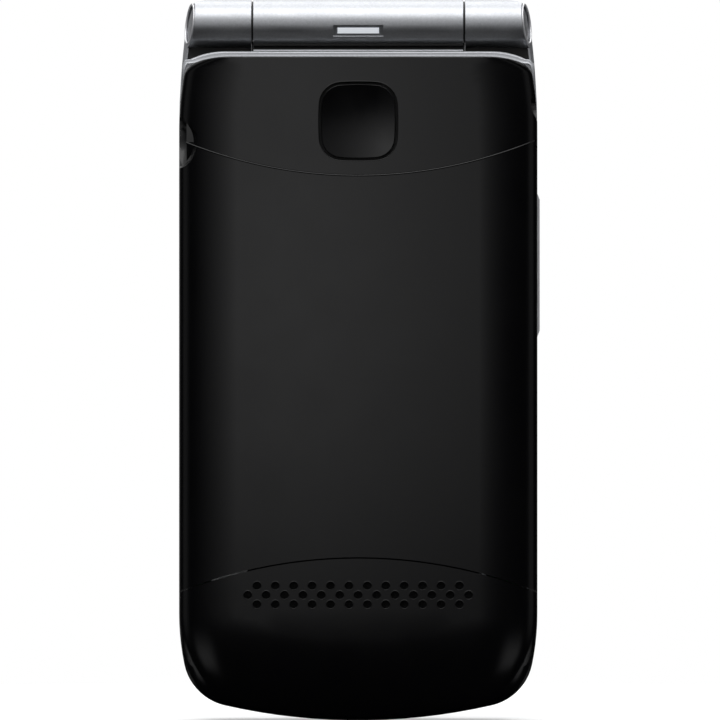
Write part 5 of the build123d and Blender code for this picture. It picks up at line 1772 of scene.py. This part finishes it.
@dataclass
class LidDetail:
    """The lid: its polished outside, its camera and the mesh of its earpiece."""

    skin: PillowSkin = field(
        default_factory=lambda: PillowSkin(rolls=(7.0, 10.0, 9.0), edge_y=5.75, face_y=9.25)
    )
    seat_middle: float = 48.0
    seat_farthest: float = 60.0
    seat_halvings: int = 24
    seat_inset: float = 0.47
    seat_corner: float = 5.0
    seat_y: float = 1.3
    seat_radius: float = 0.17
    camera_z: float = 82.5
    barrel_profile: Tuple[Pair, ...] = (
        (0.0, 0.0), (1.1, 0.0), (1.1, 0.1), (1.5, 0.1), (1.5, 0.25), (1.9, 0.25), (1.9, 0.4),
        (2.3, 0.4), (2.3, 0.55), (2.7, 0.55), (2.7, -0.05), (0.0, -0.05),
    )
    barrel_full: float = 0.55
    barrel_clear: float = 0.04
    dome_radius: float = 1.08
    dome_foot: float = 0.12
    dome_rise: float = 0.35
    dome_lift: float = 0.01
    dome_angles: Tuple[float, ...] = (0.0, 0.3, 0.6, 0.9, 1.2, 1.45)
    ring_mouth: float = 2.8
    ring_cut: Pair = (0.12, 0.04)
    ring_roll: Tuple[Pair, ...] = ((0.4, 0.0), (0.22, 0.05), (0.08, 0.16), (0.02, 0.3), (0.0, 0.45))
    window_low: float = 8.3
    window_thickness: float = 0.4
    slot_size: Pair = (7.6, 0.95)
    slot_z: float = 11.5
    slot_y: float = 1.95
    wire_pitch: float = 0.3
    wire_radius: float = 0.05

    def outside(self, shop: Workshop) -> None:
        """Sweeps the skin of the lid's outer shell."""
        mesh = shop.smooth_copy("lid_outer_shell", self.skin)
        shop.fit("lid_polished", mesh, POLISHED_SHELL, "lid", ["lid_outer_shell"])

    def within_seat(self, x: float, z: float) -> bool:
        """Whether a place is inside the seat's outline, which follows the lid's."""
        shares = [max(0.0, 1 - (gap - self.seat_inset) / self.seat_corner) for gap in self.skin.gaps(x, z)]
        return sum(share**3 for share in shares) < 1

    def seat(self, shop: Workshop) -> None:
        """Raises the fine bead on the lid's rim that stands just clear of the base's rim.

        Args:
            shop: the workshop.
        """
        path = []
        steps = 480
        for way_x, way_z in circle_points(1.0, steps):
            near, far = 0.0, self.seat_farthest
            for _ in range(self.seat_halvings):
                half = (near + far) / 2
                inside = self.within_seat(half * way_x, self.seat_middle + half * way_z)
                near, far = (half, far) if inside else (near, half)
            path.append(Vector((near * way_x, self.seat_y, self.seat_middle + near * way_z)))
        bm = bmesh.new()
        add_bead(bm, path, [Vector((0.0, -1.0, 0.0))] * steps, self.seat_radius, 8, True)
        shop.add("lid_seat_bead", bm, SILVER_LACQUER, Slot.SILVER_PAINT, "lid", 60)

    def camera_front(self, shop: Workshop) -> None:
        """Turns the stepped barrel and the domed, coated front glass of the camera.

        Args:
            shop: the workshop.
        """
        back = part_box("camera_module")[1][1] / MM
        stand = stand_at(0.0, back, self.camera_z)
        scale = (self.window_low - back - self.barrel_clear) / self.barrel_full
        bm = bmesh.new()
        add_lathe(bm, [(radius, height * scale) for radius, height in self.barrel_profile], stand, 48)
        shop.add("camera_barrel", bm, GLASS_FILLED, Slot.MOULDED_BLACK, "lid")
        dome = [(0.0, 0.0), (self.dome_radius, 0.0)]
        for angle in self.dome_angles:
            dome.append((self.dome_radius * cos(angle), self.dome_foot + self.dome_rise * sin(angle)))
        dome.append((0.0, self.dome_foot + self.dome_rise))
        bm = bmesh.new()
        add_lathe(bm, [(radius, height * scale + self.dome_lift) for radius, height in dome], stand, 40)
        shop.add("camera_front_glass", bm, COATED_GLASS, Slot.DISPLAY_PANEL, "lid", 60)

    def camera_trim(self, shop: Workshop) -> None:
        """Turns the camera's ring, with a rolled mouth, and sets its clear window.

        Args:
            shop: the workshop.
        """
        low, high = (Vector(corner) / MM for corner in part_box("camera_ring"))
        outer, deep = (high.x - low.x) / 2, high.y - low.y
        wide, narrow = self.ring_cut
        mouth = self.ring_mouth
        profile = [(mouth, 0.0), (outer, 0.0), (outer, deep - wide), (outer - narrow, deep - narrow)]
        profile += [(outer - wide, deep)]
        profile += [(mouth + out, deep - down) for out, down in self.ring_roll]
        bm = bmesh.new()
        add_tube(bm, profile, stand_at(0.0, low.y, self.camera_z), 64)
        mesh = shop.mesh("camera_trim_ring", bm, 30)
        shop.fit("camera_trim_ring", mesh, SILVER_LACQUER, "lid", ["camera_ring"])
        thickness = self.window_thickness
        bm = bmesh.new()
        profile = [(0.0, 0.0), (mouth, 0.0), (mouth, thickness), (0.0, thickness)]
        add_lathe(bm, profile, stand_at(0.0, self.window_low, self.camera_z), 64)
        shop.add("camera_window", bm, CLEAR_ACRYLIC, Slot.CLEAR_LENS, "lid")

    def earpiece_mesh(self, shop: Workshop) -> None:
        """Weaves the fine wire mesh in the earpiece slot.

        Args:
            shop: the workshop.
        """
        sizes = {"Slot Length": self.slot_size[0], "Slot Height": self.slot_size[1]}
        sizes.update({"Wire Pitch": self.wire_pitch, "Wire Radius": self.wire_radius})
        sizes.update({"Depth": self.slot_y, "Height": self.slot_z})
        tree = RepeatTree("earpiece_mesh", sizes)
        pitch, depth, height = (tree.sizes[size] for size in ("Wire Pitch", "Depth", "Height"))
        sets = []
        for run, across, turn in (
            ("Slot Length", "Slot Height", pi / 2),
            ("Slot Height", "Slot Length", 0.0),
        ):
            inputs = {"Vertices": 8, "Radius": tree.sizes["Wire Radius"], "Depth": tree.sizes[run]}
            wire = tree.add("GeometryNodeMeshCylinder", inputs=inputs)
            share = folded(tree.tree, "DIVIDE", tree.sizes[across], pitch)
            count = folded(tree.tree, "FLOOR", share, 0.0)
            first = folded(tree.tree, "MULTIPLY", count, pitch, -0.5)
            if across == "Slot Height":
                start = {1: depth, 2: folded(tree.tree, "ADD", height, first)}
                step = {2: pitch}
            else:
                start = {0: first, 1: depth, 2: height}
                step = {0: pitch}
            inputs = {"Count": folded(tree.tree, "ADD", count, 1.0)}
            inputs["Start Location"] = tree.add("ShaderNodeCombineXYZ", inputs=start)
            inputs["Offset"] = tree.add("ShaderNodeCombineXYZ", inputs=step)
            line = tree.add("GeometryNodeMeshLine", inputs=inputs)
            inputs = {"Points": line, "Instance": wire, "Rotation": (0.0, turn, 0.0)}
            sets.append(tree.add("GeometryNodeInstanceOnPoints", inputs=inputs))
        wires = tree.add("GeometryNodeJoinGeometry", inputs={0: sets})
        mesh = tree.bake(wires, shop.material(ZINC_SCREW), 50)
        shop.fit("earpiece_mesh", mesh, ZINC_SCREW, "lid")

    def build(self, shop: Workshop) -> None:
        """Builds the lid's detail.

        Args:
            shop: the workshop.
        """
        self.outside(shop)
        self.seat(shop)
        self.camera_front(shop)
        self.camera_trim(shop)
        self.earpiece_mesh(shop)


# -------------------------------------------------------------------------------------- studio


@dataclass(frozen=True)
class Opening:
    """A soft-edged opening along one direction, that may close again to a rest."""

    rise: Pair
    fall: Optional[Pair] = None
    rest: float = 0.0

    def mask(self, tree: Tree, source: Socket) -> Socket:
        """How open it is, from 0 to 1.

        Args:
            tree: the material's tree.
            source: the direction that it is cut along.

        Returns:
            The mask's socket.
        """
        spans = [(self.rise, 0.0, 1.0)]
        if self.fall:
            spans.append((self.fall, 1.0, self.rest))
        masks = []
        for (low, high), start, end in spans:
            inputs = {"Value": source, "From Min": low, "From Max": high, "To Min": start, "To Max": end}
            masks.append(add_node(tree, "ShaderNodeMapRange", {"clamp": True}, inputs).outputs["Result"])
        return folded(tree, "MULTIPLY", *masks)


@dataclass
class Studio:
    """The camera, the lamps, the pale table and the black flags round it.

    A turn is how far a direction leads off to the side, for each metre that it leads off from the
    back or from the lid.
    """

    view_height_mm: float = 106.07
    centre_x_mm: float = 0.26
    centre_z_mm: float = 52.96
    distance_m: float = 2.0
    sensor_mm: float = 36.0
    table_radius_m: float = 0.22
    flag_radius_m: float = 1.8
    fill: float = 0.45
    back_watts: float = 10.5
    lid_watts: float = 7.5
    floor_glow: float = 0.45
    strip_middle: float = -0.05
    strip_left: float = 0.4
    strip_right: float = 0.22
    front_height: Opening = Opening((-0.15, 0.04), (0.1, 0.7), 0.6)
    side_turn: Opening = Opening((3.0, 8.0))
    side_height: Opening = Opening((-0.3, -0.1))
    side_share: float = 0.15
    floor_turn: Opening = Opening((0.6, 0.9), (1.8, 3.0))
    floor_height: Opening = Opening((-0.6, -0.5), (-0.38, -0.2))
    floor_share: float = 0.4
    ceiling_height: Opening = Opening((0.2, 0.6))
    ceiling_share: float = 0.9

    @staticmethod
    def material(name: str) -> bpy.types.Material:
        """Starts a material with a node tree.

        Args:
            name: its name.

        Returns:
            The new material.
        """
        material = bpy.data.materials.new(name)
        material.use_nodes = True
        return material

    @staticmethod
    def place(name: str, data: object) -> bpy.types.Object:
        """Puts a camera, a lamp or a mesh in the scene.

        Args:
            name: its name.
            data: the camera's, lamp's or mesh's data.

        Returns:
            The new object.
        """
        thing = bpy.data.objects.new(name, data)
        bpy.context.scene.collection.objects.link(thing)
        return thing

    def camera(self) -> None:
        """Stands a long-lens camera square on to the back of the phone."""
        data = bpy.data.cameras.new("camera")
        data.sensor_width = self.sensor_mm
        data.lens = self.sensor_mm * self.distance_m / (self.view_height_mm * MM)
        data.clip_end = 20.0
        camera = self.place("camera", data)
        camera.location = (self.centre_x_mm * MM, -self.distance_m, self.centre_z_mm * MM)
        camera.rotation_euler = (radians(90), 0.0, 0.0)
        bpy.context.scene.camera = camera

    def world(self) -> None:
        """Gives a soft even fill, and a white background to the camera, metal and glass."""
        world = bpy.data.worlds.new("studio")
        world.use_nodes = True
        world.cycles.sampling_method = "NONE"
        tree = world.node_tree
        tree.nodes.clear()
        path = add_node(tree, "ShaderNodeLightPath").outputs
        rays = [path[f"Is {ray} Ray"] for ray in ("Camera", "Glossy", "Transmission")]
        inputs = {0: folded(tree, "MAXIMUM", *rays)}
        for side, (colour, strength) in enumerate((("f4f6fa", self.fill), ("ffffff", 1.0)), 1):
            light = {"Color": linear(colour), "Strength": strength}
            inputs[side] = add_node(tree, "ShaderNodeBackground", inputs=light).outputs[0]
        mixed = add_node(tree, "ShaderNodeMixShader", inputs=inputs)
        add_node(tree, "ShaderNodeOutputWorld", inputs={"Surface": mixed.outputs[0]})
        bpy.context.scene.world = world

    def lamp(self, name: str, place: Point, aim: Point, size: Pair, watts: float) -> None:
        """Hangs one rectangular softbox.

        Args:
            name: the lamp's name.
            place: where it hangs, in metres.
            aim: the point it faces.
            size: its width and height, in metres.
            watts: its power.
        """
        data = bpy.data.lights.new(name, "AREA")
        data.shape = "RECTANGLE"
        data.size, data.size_y = size
        data.energy = watts
        lamp = self.place(name, data)
        lamp.location = place
        lamp.rotation_euler = (Vector(aim) - Vector(place)).to_track_quat("-Z", "Y").to_euler()

    def lamps(self) -> None:
        """Hangs a large softbox over the back's side and another over the lid's side."""
        middle = (0.0, 0.0, 0.06)
        self.lamp("back_softbox", (-0.1, -0.55, 1.15), middle, (1.7, 1.0), self.back_watts)
        self.lamp("lid_softbox", (0.1, 0.6, 1.15), middle, (1.7, 1.0), self.lid_watts)

    def table(self) -> None:
        """Lays the round pale table top that the phone stands on, a little brighter to the camera."""
        material = self.material("pale_table")
        tree = material.node_tree
        shader = tree.nodes["Principled BSDF"]
        shader.inputs["Base Color"].default_value = linear("dedede")
        shader.inputs["Roughness"].default_value = 0.9
        path = add_node(tree, "ShaderNodeLightPath").outputs
        seen = folded(tree, "MULTIPLY", path["Is Camera Ray"], self.floor_glow)
        glow = add_node(tree, "ShaderNodeEmission", inputs={"Color": linear("ffffff"), "Strength": seen})
        both = add_node(tree, "ShaderNodeAddShader", inputs={0: shader.outputs[0], 1: glow.outputs[0]})
        tree.links.new(both.outputs[0], tree.nodes["Material Output"].inputs["Surface"])
        rim = circle_points(self.table_radius_m, 96)
        mesh = bpy.data.meshes.new("table")
        mesh.from_pydata([(x, y, 0.0) for x, y in rim], [], [list(range(len(rim)))])
        mesh.materials.append(material)
        table = self.place("table", mesh)
        table.visible_glossy = False

    def strip(self, tree: Tree, turn: Socket) -> Socket:
        """The open strip in front of the back and the lid, which fades to both sides.

        Args:
            tree: the material's tree.
            turn: how far to the side each direction leads.

        Returns:
            The mask's socket: 1 in the strip's middle, and less to both sides.
        """
        off = folded(tree, "ADD", turn, -self.strip_middle)
        left = folded(tree, "MULTIPLY", off, 1 / self.strip_left)
        right = folded(tree, "MULTIPLY", off, -1 / self.strip_right)
        return folded(tree, "EXPONENT", folded(tree, "MINIMUM", left, right), 0.0)

    def clearing(self, tree: Tree) -> Socket:
        """Works out where the flags are open, from the direction that they are seen in.

        Args:
            tree: the material's tree.

        Returns:
            The mask's socket: 1 where they are open.
        """
        way = add_node(tree, "ShaderNodeTexCoord").outputs["Object"]
        way = add_node(tree, "ShaderNodeVectorMath", {"operation": "NORMALIZE"}, {0: way}).outputs["Vector"]
        x, y, z = add_node(tree, "ShaderNodeSeparateXYZ", inputs={0: way}).outputs
        depth = folded(tree, "MAXIMUM", folded(tree, "ABSOLUTE", y, 0.0), 0.001)
        turn = folded(tree, "DIVIDE", x, depth)
        wide = folded(tree, "ABSOLUTE", turn, 0.0)
        front = folded(tree, "MULTIPLY", self.strip(tree, turn), self.front_height.mask(tree, z))
        sides = (self.side_turn.mask(tree, wide), self.side_height.mask(tree, z), self.side_share)
        floor = (self.floor_turn.mask(tree, wide), self.floor_height.mask(tree, z), self.floor_share)
        ceiling = (self.ceiling_height.mask(tree, z), self.ceiling_share)
        openings = [folded(tree, "MULTIPLY", *masks) for masks in (sides, floor, ceiling)]
        return folded(tree, "MAXIMUM", front, *openings)

    def flags(self) -> None:
        """Hangs black flags round the phone, with soft edges, that only gloss sees.

        They leave an open strip in front of the back and of the lid, a dimmer one at each side, and
        an open ceiling, so that the gloss-black mouldings show their roundness.
        """
        material = self.material("black_flag_velvet")
        tree = material.node_tree
        tree.nodes.clear()
        velvet = add_node(tree, "ShaderNodeEmission", inputs={"Color": linear("000000"), "Strength": 0.0})
        opening = add_node(tree, "ShaderNodeBsdfTransparent")
        inputs = {0: self.clearing(tree), 1: velvet.outputs[0], 2: opening.outputs[0]}
        mixed = add_node(tree, "ShaderNodeMixShader", inputs=inputs)
        add_node(tree, "ShaderNodeOutputMaterial", inputs={"Surface": mixed.outputs[0]})
        bm = bmesh.new()
        bmesh.ops.create_icosphere(bm, subdivisions=5, radius=self.flag_radius_m)
        mesh = bpy.data.meshes.new("flags")
        bm.to_mesh(mesh)
        bm.free()
        mesh.materials.append(material)
        flags = self.place("flags", mesh)
        flags.visible_camera = False
        flags.visible_diffuse = False
        flags.visible_shadow = False

    def build(self) -> None:
        """Sets up the whole studio."""
        self.camera()
        self.world()
        self.lamps()
        self.table()
        self.flags()
        bpy.context.scene.view_settings.view_transform = "Standard"


def screw_sets() -> List[ScrewSet]:
    """The screws of the base, in the battery bay, and of the lid, under its bumpers.

    Returns:
        One set for each of the two.
    """
    result = []
    for part, height, depth in (("base", 0.85, 0.45), ("lid", 0.6, 0.3)):
        node = f"{part}_screws"
        low, high = (Vector(corner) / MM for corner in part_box(node))
        inset = ScrewSet.head_radius
        x = high.x - inset
        places = [(side * x, z) for side in (-1, 1) for z in (low.z + inset, high.z - inset)]
        seat = low.y + height
        sizes = {"shank_length": high.y - seat, "head_height": height, "slot_depth": depth}
        result.append(ScrewSet(f"{part}_cross_screws", node, part, places, seat, **sizes))
    return result


def main() -> None:
    """Dresses the phone and builds the studio."""
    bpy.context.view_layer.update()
    shop = Workshop()
    back = BackHousing()
    back.build(shop)
    CallButton().build(shop, back.skin)
    HingeTrim().build(shop, back.skin)
    for screws in screw_sets():
        screws.build(shop)
    KeyLegends().build(shop)
    LidDetail().build(shop)
    Studio().build()


if __name__ == "__main__":
    main()
